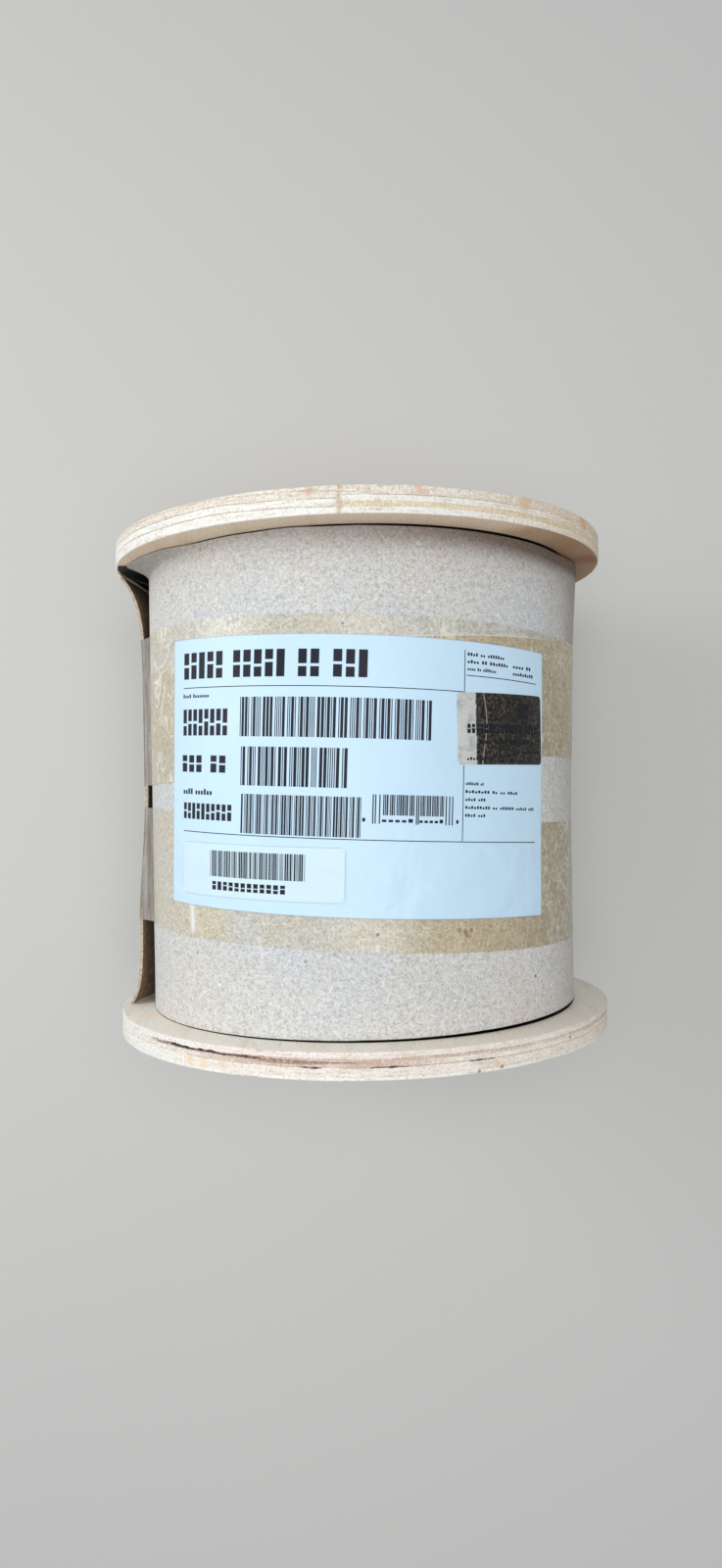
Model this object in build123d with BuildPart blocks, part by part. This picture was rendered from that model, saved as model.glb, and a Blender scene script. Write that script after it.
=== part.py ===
from build123d import *
from math import acos, cos, degrees, pi, radians, sin
import os

# Small cable drum of two plywood flanges on a paper barrel, full of cable under a chipboard wrap.
# It lies on its rims. Lengths are millimetres and angles are degrees.
# An angle about the drum's axis is 0 straight up, where the label is, and grows to the right (+X).
# A height is measured along the axis, +Y, from the middle of the winding.

# Flanges
flange_diameter = 210.0
flange_thickness = 10.0
arbor_hole_diameter = 38.0
rim_chamfer = 0.6

# Barrel that the flanges are bolted to
barrel_diameter = 88.9
barrel_wall = 5.0
barrel_length = 186.0

# Tie bolts inside the barrel, sunk into the flanges at both ends
bolt_count = 3
bolt_circle_diameter = 62.0
bolt_diameter = 6.0
bolt_hole_clearance = 0.25
head_across_flats = 10.0
head_height = 3.6
nut_height = 3.2
thread_end = 0.4
thread_clearance = 0.02
washer_diameter = 16.0
washer_thickness = 1.0
recess_side_clearance = 1.5
recess_cover = 0.4

# Winding and the chipboard sheet round it
winding_diameter = 179.6
winding_side_gap = 1.0
winding_bore_clearance = 0.1
wrap_thickness = 1.2
wrap_fit = 0.3
wrap_side_gap = 0.8

# The sheet's inner end, the step where its outer end climbs over it, and the free flap
inner_end_angle = -116.0
climb_start_angle = -140.0
climb_end_angle = -119.0
free_edge_angle = -82.0
lap_gap = 0.15
flap_middle_lift = 3.4
flap_top_lift = 13.4
flap_top_reach = 25.0
flap_bottom_lift = 9.2
flap_bottom_reach = 30.0
flap_profile_points = 9
flap_reach_steps = 3

# Clear tape: three bands round the drum, over the flap and down to the sheet again
tape_width = 48.0
tape_thickness = 0.12
film_gap = 0.02
lower_tape_height = -36.9
lower_tape_tilt = -2.8
upper_tape_height = 36.6
upper_tape_tilt = -2.2
second_tape_height = 29.7
second_tape_tilt = 3.0

# Paper label with a small sticker and a foil seal on it
label_width = 165.0
label_height = 101.6
label_thickness = 0.2
label_arc = -2.0
label_centre_height = 2.3
label_tilt = -2.6
label_corner_radius = 1.5
sticker_width = 72.0
sticker_height = 20.0
sticker_thickness = 0.15
sticker_left_margin = 7.7
sticker_bottom_margin = 4.6
sticker_turn = 0.7
sticker_corner_radius = 2.5
seal_width = 43.0
seal_height = 26.5
seal_thickness = 0.15
seal_right_margin = 2.2
seal_top_margin = 18.0
seal_turn = 2.6
seal_corner_radius = 1.6

# Worked out from the sizes above
drum_plane = Plane.ZX
flange_radius = flange_diameter / 2
half_barrel = barrel_length / 2
barrel_radius = barrel_diameter / 2
outer_face = half_barrel + flange_thickness
winding_radius = winding_diameter / 2
wrap_inner_radius = winding_radius + wrap_fit
wrap_outer_radius = wrap_inner_radius + wrap_thickness
wrap_half_width = half_barrel - wrap_side_gap
lap_step = wrap_thickness + lap_gap
bolt_radius = bolt_diameter / 2
recess_radius = washer_diameter / 2 + recess_side_clearance
recess_depth = washer_thickness + max(head_height, nut_height + thread_end) + recess_cover
recess_floor = outer_face - recess_depth
hex_radius = head_across_flats / 2 / cos(pi / 6)
label_seat_radius = wrap_outer_radius + 2 * tape_thickness + 3 * film_gap
top_layer_radius = label_seat_radius + label_thickness + film_gap


def on_circle(radius, angle):
    """The point at a radius and an angle about the axis."""
    return (radius * cos(radians(angle)), radius * sin(radians(angle)))


def smooth_rise(share):
    """From 0 to 1 with level ends."""
    share = min(max(share, 0.0), 1.0)
    return share * share * (3 - 2 * share)


def lap_radius(angle, lift):
    """Radius of the outer ply's outer face, which leaves the inner ply by the square of its run."""
    climb = smooth_rise((angle - climb_start_angle) / (climb_end_angle - climb_start_angle))
    run = max(0.0, (angle - inner_end_angle) / (free_edge_angle - inner_end_angle))
    return wrap_outer_radius + lap_step * climb + (lift - lap_step) * run**2


def lap_points(lift, offset):
    """Points along the outer ply, from the climb to the free edge, offset outwards."""
    step = (free_edge_angle - climb_start_angle) / (flap_profile_points - 1)
    angles = [climb_start_angle + step * i for i in range(flap_profile_points)]
    return [on_circle(lap_radius(angle, lift) + offset, angle) for angle in angles]


def flap_stations():
    """Heights and lifts of the flap's sections: its corners stand further off than its middle."""
    corners = [
        (-1, flap_bottom_lift, flap_bottom_reach),
        (1, flap_top_lift, flap_top_reach),
    ]
    stations = []
    for side, corner_lift, reach in corners:
        for step in range(flap_reach_steps + 1):
            share = step / flap_reach_steps
            height = side * (wrap_half_width - reach * share)
            lift = flap_middle_lift + (corner_lift - flap_middle_lift) * (1 - share) ** 2
            stations.append((height, lift))
    return sorted(stations)


def flange(side):
    """One plywood disc, on the barrel's end at side 1 or -1, with its bolt heads' recesses."""
    outside = Plane(
        origin=drum_plane.offset(side * outer_face).origin,
        x_dir=drum_plane.x_dir,
        z_dir=drum_plane.z_dir * side,
    )
    with BuildPart() as disc:
        with BuildSketch(drum_plane.offset(side * half_barrel)):
            Circle(flange_radius)
            Circle(arbor_hole_diameter / 2, mode=Mode.SUBTRACT)
        extrude(amount=side * flange_thickness)
        circles = disc.edges().filter_by(GeomType.CIRCLE)
        chamfer(circles.sort_by(SortBy.RADIUS)[-2:], length=rim_chamfer)
        with Locations(outside):
            with PolarLocations(bolt_circle_diameter / 2, bolt_count):
                CounterBoreHole(bolt_radius + bolt_hole_clearance, recess_radius, recess_depth)
    return disc


def hardware(height, profile_radius, sides, thickness, hole_radius, location):
    """A washer (no sides) or a nut at one bolt, with its inner face at a height."""
    with BuildPart() as piece:
        with BuildSketch(drum_plane.offset(height)):
            with Locations(location):
                if sides:
                    RegularPolygon(profile_radius, sides)
                else:
                    Circle(profile_radius)
                Circle(hole_radius, mode=Mode.SUBTRACT)
        extrude(amount=thickness)
    return piece


def tie_bolt(location):
    """A hexagon bolt whose head is in the top recess and whose thread ends in the bottom one."""
    under_head = recess_floor + washer_thickness
    shank_end = -recess_floor - washer_thickness - nut_height - thread_end
    with BuildPart() as bolt:
        with BuildSketch(drum_plane.offset(shank_end)):
            with Locations(location):
                Circle(bolt_radius)
        extrude(amount=under_head - shank_end)
        with BuildSketch(drum_plane.offset(under_head)):
            with Locations(location):
                RegularPolygon(hex_radius, 6)
        extrude(amount=head_height)
    return bolt


def film_loop(layer_offset):
    """Sketch face inside a band's line: over the flap, straight back to the wrap and round it."""
    body_radius = wrap_outer_radius + layer_offset
    edge_radius = lap_radius(free_edge_angle, flap_middle_lift) + layer_offset
    landing_angle = free_edge_angle + degrees(acos(body_radius / edge_radius))
    with BuildSketch(mode=Mode.PRIVATE) as loop:
        with BuildLine():
            climb = Spline(*lap_points(flap_middle_lift, layer_offset))
            Line(climb @ 1, on_circle(body_radius, landing_angle))
            CenterArc((0, 0), body_radius, landing_angle, climb_start_angle + 360 - landing_angle)
        make_face()
    return loop.sketch


def tape_band(height, tilt, layer):
    """A closed band of film, cut to its width by a slab that is tilted to the axis."""
    inner_offset = film_gap + layer * (tape_thickness + film_gap)
    with BuildPart() as band:
        with BuildSketch(drum_plane.offset(-half_barrel)):
            add(film_loop(inner_offset + tape_thickness))
            add(film_loop(inner_offset), mode=Mode.SUBTRACT)
        extrude(amount=barrel_length)
        with BuildSketch(drum_plane.offset(height).rotated((tilt, 0, 0))):
            Circle(flange_diameter)
        extrude(amount=tape_width / 2, both=True, mode=Mode.INTERSECT)
    return band


def on_label(right, up):
    """Arc and height on the drum of a place on the label, measured from the label's middle."""
    lean = radians(label_tilt)
    arc = label_arc + right * cos(lean) - up * sin(lean)
    return (arc, label_centre_height + right * sin(lean) + up * cos(lean))


def patch(place, width, tall, tilt, seat_radius, thickness, corner_radius):
    """A sheet bent to the drum: a ring round the axis, cut to a rounded outline seen square on."""
    arc, height = place
    angle = arc / wrap_outer_radius
    level = drum_plane.offset(height)
    outward = level.from_local_coords(Vector(cos(angle), sin(angle), 0)) - level.origin
    across = level.from_local_coords(Vector(-sin(angle), cos(angle), 0)) - level.origin
    chord = 2 * seat_radius * sin(width / 2 / wrap_outer_radius)
    with BuildPart() as sheet:
        with BuildSketch(drum_plane.offset(height - tall)):
            Circle(seat_radius + thickness)
            Circle(seat_radius, mode=Mode.SUBTRACT)
        extrude(amount=2 * tall)
        with BuildSketch(Plane(origin=level.origin, x_dir=across, z_dir=outward)):
            RectangleRounded(chord, tall, corner_radius, rotation=tilt)
        extrude(amount=flange_radius, mode=Mode.INTERSECT)
    return sheet


pieces = {
    "top_flange": flange(1),
    "bottom_flange": flange(-1),
}

# Barrel: a paper tube between the flanges
with BuildPart() as barrel_tube:
    with BuildSketch(drum_plane.offset(-half_barrel)):
        Circle(barrel_radius)
        Circle(barrel_radius - barrel_wall, mode=Mode.SUBTRACT)
    extrude(amount=barrel_length)
pieces["barrel_tube"] = barrel_tube

# Tie bolts with a washer at each end and a nut at the bottom
for number in range(1, bolt_count + 1):
    bolt_angle = 360 / bolt_count * (number - 1)
    centre = on_circle(bolt_circle_diameter / 2, bolt_angle)
    hole = bolt_radius + thread_clearance
    washer_hole = bolt_radius + bolt_hole_clearance
    washer_radius = washer_diameter / 2
    nut_seat = -recess_floor - washer_thickness
    pieces[f"tie_bolt_{number}"] = tie_bolt(centre)
    pieces[f"top_washer_{number}"] = hardware(
        recess_floor, washer_radius, 0, washer_thickness, washer_hole, centre
    )
    pieces[f"bottom_washer_{number}"] = hardware(
        nut_seat, washer_radius, 0, washer_thickness, washer_hole, centre
    )
    pieces[f"nut_{number}"] = hardware(nut_seat - nut_height, hex_radius, 6, nut_height, hole, centre)

# Winding: the cable's turns as one turned solid
with BuildPart() as cable_winding:
    with BuildSketch(drum_plane.offset(-half_barrel + winding_side_gap)):
        Circle(winding_radius)
        Circle(barrel_radius + winding_bore_clearance, mode=Mode.SUBTRACT)
    extrude(amount=barrel_length - 2 * winding_side_gap)
pieces["cable_winding"] = cable_winding

# Wrap: one chipboard sheet, once round the winding and over its own inner end, then free
with BuildPart() as chipboard_wrap:
    with BuildSketch(drum_plane.offset(-wrap_half_width)):
        with BuildLine():
            turn = climb_start_angle + 360 - inner_end_angle
            CenterArc((0, 0), wrap_outer_radius, inner_end_angle, turn)
            CenterArc((0, 0), wrap_inner_radius, inner_end_angle, turn)
            for end_angle in (inner_end_angle, climb_start_angle):
                Line(on_circle(wrap_inner_radius, end_angle), on_circle(wrap_outer_radius, end_angle))
        make_face()
    extrude(amount=2 * wrap_half_width)
    for station_height, station_lift in flap_stations():
        with BuildSketch(drum_plane.offset(station_height)):
            with BuildLine():
                outer_face_line = Spline(*lap_points(station_lift, 0.0))
                inner_face_line = Spline(*lap_points(station_lift, -wrap_thickness))
                Line(outer_face_line @ 0, inner_face_line @ 0)
                Line(outer_face_line @ 1, inner_face_line @ 1)
            make_face()
    loft(ruled=True)
pieces["chipboard_wrap"] = chipboard_wrap

# Tape bands, the second one over the first
pieces["lower_tape"] = tape_band(lower_tape_height, lower_tape_tilt, 0)
pieces["upper_tape"] = tape_band(upper_tape_height, upper_tape_tilt, 0)
pieces["second_tape"] = tape_band(second_tape_height, second_tape_tilt, 1)

# Label over the tape, with its sticker and seal
pieces["product_label"] = patch(
    (label_arc, label_centre_height),
    label_width,
    label_height,
    label_tilt,
    label_seat_radius,
    label_thickness,
    label_corner_radius,
)
pieces["barcode_sticker"] = patch(
    on_label(
        sticker_left_margin + sticker_width / 2 - label_width / 2,
        sticker_bottom_margin + sticker_height / 2 - label_height / 2,
    ),
    sticker_width,
    sticker_height,
    label_tilt + sticker_turn,
    top_layer_radius,
    sticker_thickness,
    sticker_corner_radius,
)
pieces["foil_seal"] = patch(
    on_label(
        label_width / 2 - seal_right_margin - seal_width / 2,
        label_height / 2 - seal_top_margin - seal_height / 2,
    ),
    seal_width,
    seal_height,
    label_tilt + seal_turn,
    top_layer_radius,
    seal_thickness,
    seal_corner_radius,
)

os.makedirs("parts", exist_ok=True)
for name, piece in pieces.items():
    piece.part.label = name
    export_step(piece.part, f"parts/{name}.step")
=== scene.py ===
import math
from typing import NamedTuple

import bmesh
import bpy
import numpy as np
from bpy.props import FloatProperty, FloatVectorProperty, PointerProperty
from bpy.types import Operator, Panel, PropertyGroup
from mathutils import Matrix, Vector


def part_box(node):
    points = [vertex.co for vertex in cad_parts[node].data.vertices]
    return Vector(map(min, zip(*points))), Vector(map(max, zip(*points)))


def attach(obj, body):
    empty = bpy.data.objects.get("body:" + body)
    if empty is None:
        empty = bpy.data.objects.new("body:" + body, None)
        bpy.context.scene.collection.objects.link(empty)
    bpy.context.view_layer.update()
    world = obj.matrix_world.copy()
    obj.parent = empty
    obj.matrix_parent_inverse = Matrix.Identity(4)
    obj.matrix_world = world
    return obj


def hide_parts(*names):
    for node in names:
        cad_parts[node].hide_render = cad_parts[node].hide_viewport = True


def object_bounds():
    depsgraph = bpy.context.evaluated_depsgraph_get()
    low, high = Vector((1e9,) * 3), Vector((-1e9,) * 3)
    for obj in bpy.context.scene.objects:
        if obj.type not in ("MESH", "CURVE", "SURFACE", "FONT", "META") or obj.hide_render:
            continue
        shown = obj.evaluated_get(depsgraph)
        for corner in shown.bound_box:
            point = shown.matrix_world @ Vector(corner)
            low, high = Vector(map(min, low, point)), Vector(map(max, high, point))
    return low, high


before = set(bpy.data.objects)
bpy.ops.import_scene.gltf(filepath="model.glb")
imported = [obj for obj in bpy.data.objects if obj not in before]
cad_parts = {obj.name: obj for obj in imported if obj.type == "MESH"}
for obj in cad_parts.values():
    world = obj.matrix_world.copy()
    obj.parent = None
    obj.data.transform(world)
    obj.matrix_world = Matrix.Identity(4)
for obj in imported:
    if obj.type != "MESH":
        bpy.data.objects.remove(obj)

bl_info = {
    "name": "Cable drum finish",
    "version": (1, 0, 0),
    "blender": (4, 5, 0),
    "location": "3D View > Sidebar > Drum",
    "description": "Plywood, chipboard wrap, clear tape and paper label of a small cable drum",
    "category": "Add Mesh",
}

# Angles about the drum's axis, +Y, are in degrees: 0 is straight up and +X is at 90.
# Heights are measured along the axis from the middle of the drum, and lengths are in metres
# where no comment says millimetres.
MM = 0.001
CAD_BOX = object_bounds()

# Sizes that come from the frame
flange_low, flange_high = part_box("top_flange")
wrap_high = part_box("chipboard_wrap")[1]
FLANGE_RADIUS = flange_high.x
FLANGE_INSIDE = flange_low.y
FLANGE_THICKNESS = flange_high.y - flange_low.y
BOARD_RADIUS = wrap_high.z
BOARD_HALF_WIDTH = wrap_high.y
FLOOR_LEVEL = CAD_BOX[0].z

# Sizes inside the frame's pieces, which their boxes don't give
ARBOR_RADIUS = 19 * MM
BOLT_CIRCLE_RADIUS = 31 * MM
BOLT_HOLE_RADIUS = 3.25 * MM
BOLT_ANGLES = (0, 120, 240)
RECESS_RADIUS = 9.5 * MM
RECESS_DEPTH = 5 * MM
BOARD_THICKNESS = 1.2 * MM
LAP_STEP = 1.35 * MM
TAPE_WIDTH = 48 * MM
FILM_THICKNESS = 0.12 * MM
FILM_GAP = 0.02 * MM

# The board's inner end, the angles between which it climbs over that end, and its free edge. They
# are counted on from the inner end, past 180 degrees.
INNER_END = -116.0
CLIMB_START, CLIMB_END = 220.0, 241.0
FREE_EDGE = 278.0

# The label's size, the arc and height of its middle on the drum, and its tilt.
# Its right edge is trimmed, because the paper ends a little short of the frame's label there.
LABEL_SIZE = (165 * MM, 101.6 * MM)
LABEL_MIDDLE = (-2.0 * MM, 2.3 * MM)
LABEL_TILT = -2.6
RIGHT_TRIM = 1.4 * MM

# The paper's height over the board, and the height of the print over the paper
LABEL_SEAT = 2 * (FILM_THICKNESS + FILM_GAP) + 0.05 * MM
LABEL_THICKNESS = 0.2 * MM
STICKER_SEAT = LABEL_THICKNESS + 0.04 * MM
STICKER_THICKNESS = 0.15 * MM
INK_LIFT = 0.006 * MM
INK_THICKNESS = 0.015 * MM


def paint(colour):
    """Linear colour of an sRGB one given from 0 to 255. A setting's colour is linear already."""
    if not isinstance(colour, tuple):
        return colour
    shares = np.array(colour) / 255
    linear = np.where(shares <= 0.04045, shares / 12.92, ((shares + 0.055) / 1.055) ** 2.4)
    return tuple(float(value) for value in linear)


def smooth(share):
    """Cubic step from 0 to 1 with level ends."""
    share = np.clip(share, 0, 1)
    return share * share * (3 - 2 * share)


def bump(position, centre, reach):
    """Round hump of height 1 at the centre that falls to 0 at a reach on both sides."""
    return np.clip(1 - ((position - centre) / reach) ** 2, 0, 1) ** 2


def inside(value, low, high, soft):
    """1 between two limits and 0 beyond them, with a cubic step of a given width at each."""
    return smooth((value - low) / soft + 0.5) * smooth((high - value) / soft + 0.5)


def signed(angle):
    """The same angle, counted from -180 to 180 degrees."""
    return (angle + 180) % 360 - 180


def wave(u, v, seed, period=(64, 64)):
    """Smooth noise from -1 to 1: random heights at whole numbers, blended by a cubic step. The
    heights come again after a period."""
    heights = np.random.default_rng(seed).uniform(-1, 1, period)
    cell_u = np.floor(u).astype(int)
    cell_v = np.floor(v).astype(int)
    share_u = smooth(u - cell_u)
    share_v = smooth(v - cell_v)

    def height(step_u, step_v):
        return heights[(cell_u + step_u) % period[0], (cell_v + step_v) % period[1]]

    near = height(0, 0) * (1 - share_v) + height(0, 1) * share_v
    far = height(1, 0) * (1 - share_v) + height(1, 1) * share_v
    return near * (1 - share_u) + far * share_u


def polar(radius, angle, height):
    """Points at a radius and an angle about the axis, and a height along it."""
    turn = np.radians(angle)
    radius, turn, height = np.broadcast_arrays(radius, turn, height)
    return np.stack([radius * np.sin(turn), height, radius * np.cos(turn)], axis=-1)


class Skin:
    """Grids of points gathered into one mesh. Rows step along the axis, columns step round it."""

    def __init__(self, mirrored=False):
        self.mirrored = mirrored
        self.points = []
        self.quads = []
        self.slots = []
        self.marks = {}
        self.count = 0

    def add(self, points, around=False, flip=False, slot=0, **marks):
        """Adds one grid; around joins its last column to its first, flip turns its faces over.
        Its slot is one material's number, or one for each face, and marks are values at points."""
        rows, columns = points.shape[:2]
        index = np.arange(rows * columns).reshape(rows, columns) + self.count
        if around:
            index = np.hstack([index, index[:, :1]])
        corners = [index[:-1, :-1], index[:-1, 1:], index[1:, 1:], index[1:, :-1]]
        quads = np.stack(corners, axis=-1).reshape(-1, 4)
        if flip != self.mirrored:
            quads = quads[:, ::-1]
        self.points.append(points.reshape(-1, 3))
        self.quads.append(quads)
        self.slots.append(np.full(len(quads), slot) if np.isscalar(slot) else np.ravel(slot))
        for name, values in marks.items():
            self.marks.setdefault(name, []).append((self.count, np.ravel(values)))
        self.count += rows * columns

    def shell(self, outer, inner, around=False, slots=(0, 0, 0), **marks):
        """A thin closed wall: the outer grid, the inner grid and strips along their borders. Its
        slots are those of the outer grid, the inner grid and the strips."""
        self.add(outer, around, slot=slots[0], **marks)
        self.add(inner, around, flip=True, slot=slots[1], **marks)
        for row, pair in ((-1, (outer, inner)), (0, (inner, outer))):
            strip = np.stack([grid[row] for grid in pair])
            chosen = {name: np.stack([values[row], values[row]]) for name, values in marks.items()}
            self.add(strip, around, slot=slots[2], **chosen)
        if around:
            return
        for column, pair in ((-1, (outer, inner)), (0, (inner, outer))):
            strip = np.stack([grid[:, column] for grid in pair], axis=1)
            chosen = {name: np.stack([v[:, column], v[:, column]], axis=1) for name, v in marks.items()}
            self.add(strip, slot=slots[2], **chosen)

    def mesh(self, name, materials, crease=40.0, weld=1.5e-6):
        """Makes the mesh with its marks and materials, welds its seams and creases its edges."""
        mesh = bpy.data.meshes.new(name)
        points = np.concatenate(self.points)
        mesh.from_pydata(points.tolist(), [], np.concatenate(self.quads).tolist())
        mesh.polygons.foreach_set("material_index", np.concatenate(self.slots).astype(np.int32))
        for mark, parts in self.marks.items():
            values = np.zeros(len(points), np.float32)
            for start, part in parts:
                values[start : start + len(part)] = part
            mesh.attributes.new(mark, "FLOAT", "POINT").data.foreach_set("value", values)
        for material in materials:
            mesh.materials.append(material)
        body = bmesh.new()
        body.from_mesh(mesh)
        bmesh.ops.remove_doubles(body, verts=body.verts, dist=weld)
        body.to_mesh(mesh)
        body.free()
        mesh.shade_smooth()
        mesh.set_sharp_from_angle(angle=math.radians(crease))
        mesh.validate()
        return mesh

    def piece(self, name, materials, slot, replaces=(), **seams):
        """Makes the object from its mesh, hangs it under the root body, and hides the CAD nodes in whose
        place it stands.
        """
        piece = bpy.data.objects.new(name, self.mesh(name, materials, **seams))
        bpy.context.scene.collection.objects.link(piece)
        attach(piece, "root")
        if replaces:
            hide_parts(*replaces)


class Finish:
    """A material with one Principled surface, whose constants are given by their names in lower
    case, and short calls that add nodes and return sockets."""

    def __init__(self, name, **constants):
        self.material = bpy.data.materials.new(name)
        self.material.use_nodes = True
        self.tree = self.material.node_tree
        self.surface = self.tree.nodes["Principled BSDF"]
        titles = {title.replace(" ", "_").lower(): title for title in self.surface.inputs.keys()}
        for key, value in constants.items():
            self.surface.inputs[titles[key]].default_value = value
        self.object_place = self.node("TexCoord").outputs["Object"]
        self.normal = None

    def node(self, kind, **settings):
        """A new shader node of a kind, with its settings."""
        made = self.tree.nodes.new("ShaderNode" + kind)
        for key, value in settings.items():
            setattr(made, key, value)
        return made

    def feed(self, socket, value):
        """Links a socket to another, or sets its own value."""
        if isinstance(value, bpy.types.NodeSocket):
            self.tree.links.new(value, socket)
        elif socket.type == "RGBA":
            socket.default_value = (*paint(value), 1.0)
        else:
            socket.default_value = value

    def mapped(self, stretch=(1, 1, 1), turn=(0, 0, 0), shift=(0, 0, 0)):
        """Object coordinates, stretched, turned and shifted."""
        made = self.node("Mapping")
        self.feed(made.inputs["Vector"], self.object_place)
        made.inputs["Scale"].default_value = stretch
        made.inputs["Rotation"].default_value = turn
        made.inputs["Location"].default_value = shift
        return made.outputs["Vector"]

    def noise(self, scale, detail=2.0, rough=0.5, place=None, twist=0.0):
        """Perlin noise around 0.5 with a number of finer octaves, each rough times the last."""
        made = self.node("TexNoise")
        self.feed(made.inputs["Vector"], place or self.object_place)
        for key, value in (("Scale", scale), ("Detail", detail), ("Roughness", rough), ("Distortion", twist)):
            self.feed(made.inputs[key], value)
        return made.outputs[0]

    def specks(self, scale, border, middle, chance, place=None, channel=0):
        """Round specks in Voronoi cells: 0 at a border distance from a cell's middle and 1 near it,
        in the cells whose random colour has a channel over a chance."""
        made = self.node("TexVoronoi")
        self.feed(made.inputs["Vector"], place or self.object_place)
        self.feed(made.inputs["Scale"], scale)
        chosen = self.maths("GREATER_THAN", self.axes(made.outputs["Color"])[channel], chance)
        return self.times(self.spread(made.outputs["Distance"], border, middle), chosen)

    def mark(self, name):
        """A value that the mesh carries at its points."""
        return self.node("Attribute", attribute_name=name).outputs["Fac"]

    def axes(self, vector=None):
        """The three parts of a vector, or of the object coordinates."""
        made = self.node("SeparateXYZ")
        self.feed(made.inputs[0], vector or self.object_place)
        return made.outputs

    def away(self, angle, height, radius=None):
        """Distance from a place on the drum, whose height is in millimetres."""
        made = self.node("VectorMath", operation="DISTANCE")
        self.feed(made.inputs[0], self.object_place)
        made.inputs[1].default_value = polar(radius or BOARD_RADIUS, angle, height * MM)
        return made.outputs["Value"]

    def spot(self, angle, height, reach, radius=None, ragged=0.6, core=0.55):
        """1 at a place on the drum that falls to 0 at a reach from it, with a ragged border. The
        height and the reach are in millimetres, and the core is the share of the reach that is 1."""
        reach = reach * MM
        border = self.noise(0.8 / reach, 3, 0.6)
        moved = self.stray(self.away(angle, height, radius), border, ragged * reach * 2)
        return self.spread(moved, reach, reach * core)

    def maths(self, operation, first, second=0.0, third=0.0):
        """One operation on up to three values, named as Blender names it."""
        made = self.node("Math", operation=operation)
        for socket, value in zip(made.inputs, (first, second, third)):
            self.feed(socket, value)
        return made.outputs[0]

    def times(self, first, second):
        """The product of two values."""
        return self.maths("MULTIPLY", first, second)

    def larger(self, first, second):
        """The larger of two values."""
        return self.maths("MAXIMUM", first, second)

    def off(self, value, middle=0.5):
        """Distance of a value from a middle one."""
        return self.maths("ABSOLUTE", self.maths("SUBTRACT", value, middle))

    def stray(self, value, noise, amount):
        """A value plus an amount times noise, which is counted from its middle."""
        return self.maths("MULTIPLY_ADD", self.maths("SUBTRACT", noise, 0.5), amount, value)

    def spread(self, value, low, high, to_low=0.0, to_high=1.0):
        """Smooth step of a value from one range to another."""
        made = self.node("MapRange", interpolation_type="SMOOTHSTEP")
        ends = (("From Min", low), ("From Max", high), ("To Min", to_low), ("To Max", to_high))
        for key, entry in (("Value", value), *ends):
            self.feed(made.inputs[key], entry)
        return made.outputs["Result"]

    def blend(self, share, first, second, mode="MIX"):
        """The first colour, with the second over it or multiplied into it by a share."""
        made = self.node("Mix", data_type="RGBA", blend_type=mode)
        named = {socket.identifier: socket for socket in made.inputs}
        self.feed(named["Factor_Float"], share)
        self.feed(named["A_Color"], first)
        self.feed(named["B_Color"], second)
        return next(s for s in made.outputs if s.identifier == "Result_Color")

    def touch(self, tone, share, strength, colour):
        """Lays a colour over a tone by a share of a strength."""
        return self.blend(self.times(share, strength), tone, colour)

    def coats(self, tone, layers):
        """Lays colours over a tone, one after another. Each layer is a pattern, the value where its
        colour starts, the value where it is full, its strength there and the colour."""
        for pattern, start, full, strength, colour in layers:
            tone = self.blend(self.spread(pattern, start, full, 0, strength), tone, colour)
        return tone

    def bands(self, value, stops):
        """Colours along a value from 0 to 1, given as (position, colour) stops."""
        made = self.node("ValToRGB")
        points = made.color_ramp.elements
        while len(points) < len(stops):
            points.new(0.5)
        for point, (position, colour) in zip(points, stops):
            point.position = position
            point.color = (*paint(colour), 1.0)
        self.feed(made.inputs[0], value)
        return made.outputs["Color"]

    def colour(self, value):
        """Gives the surface its colour."""
        self.feed(self.surface.inputs["Base Color"], value)

    def roughness(self, value):
        """Gives the surface its roughness."""
        self.feed(self.surface.inputs["Roughness"], value)

    def relief(self, height, depth, strength=1.0):
        """Adds a bump of a real depth to the surface."""
        made = self.node("Bump")
        self.feed(made.inputs["Height"], height)
        self.feed(made.inputs["Distance"], depth)
        self.feed(made.inputs["Strength"], strength)
        if self.normal is not None:
            self.feed(made.inputs["Normal"], self.normal)
        self.normal = made.outputs["Normal"]
        self.feed(self.surface.inputs["Normal"], self.normal)


def colour_property(name, description, colour):
    """A colour setting, given from 0 to 255."""
    return FloatVectorProperty(
        name=name, description=description, default=paint(colour), subtype="COLOR", size=3, min=0, max=1
    )


def length_property(name, description, value):
    """A length setting in metres."""
    return FloatProperty(name=name, description=description, default=value, unit="LENGTH", precision=5)


def power_property(name, description, value):
    """A lamp's power setting in watts."""
    return FloatProperty(name=name, description=description, default=value, min=0, unit="POWER")


class PlywoodSettings(PropertyGroup):
    face: colour_property("Face", "Veneer on the bottom flange's faces", (252, 248, 238))
    tan_face: colour_property("Tan face", "Veneer on the top flange's faces", (246, 226, 200))
    streak: colour_property("Streak", "Darker streaks of the face veneer", (200, 178, 146))
    pale_ply: colour_property("Pale ply", "Lightest layer on the rims", (242, 243, 238))
    rough_ply: colour_property("Rough ply", "Rough outer layer on the top rim", (230, 225, 213))
    red_ply: colour_property("Red ply", "Reddish core layer on the bottom rim", (203, 174, 162))
    glue: colour_property("Glue line", "Thin lines between the layers", (150, 136, 120))
    joint_depth: length_property("Joint depth", "Depth of the lines between the layers", 0.14 * MM)
    tear_depth: length_property("Tear depth", "Depth of the torn fibres on rough layers", 0.16 * MM)
    crack_depth: length_property("Crack depth", "Depth of the split in the bottom rim", 1.6 * MM)


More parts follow.
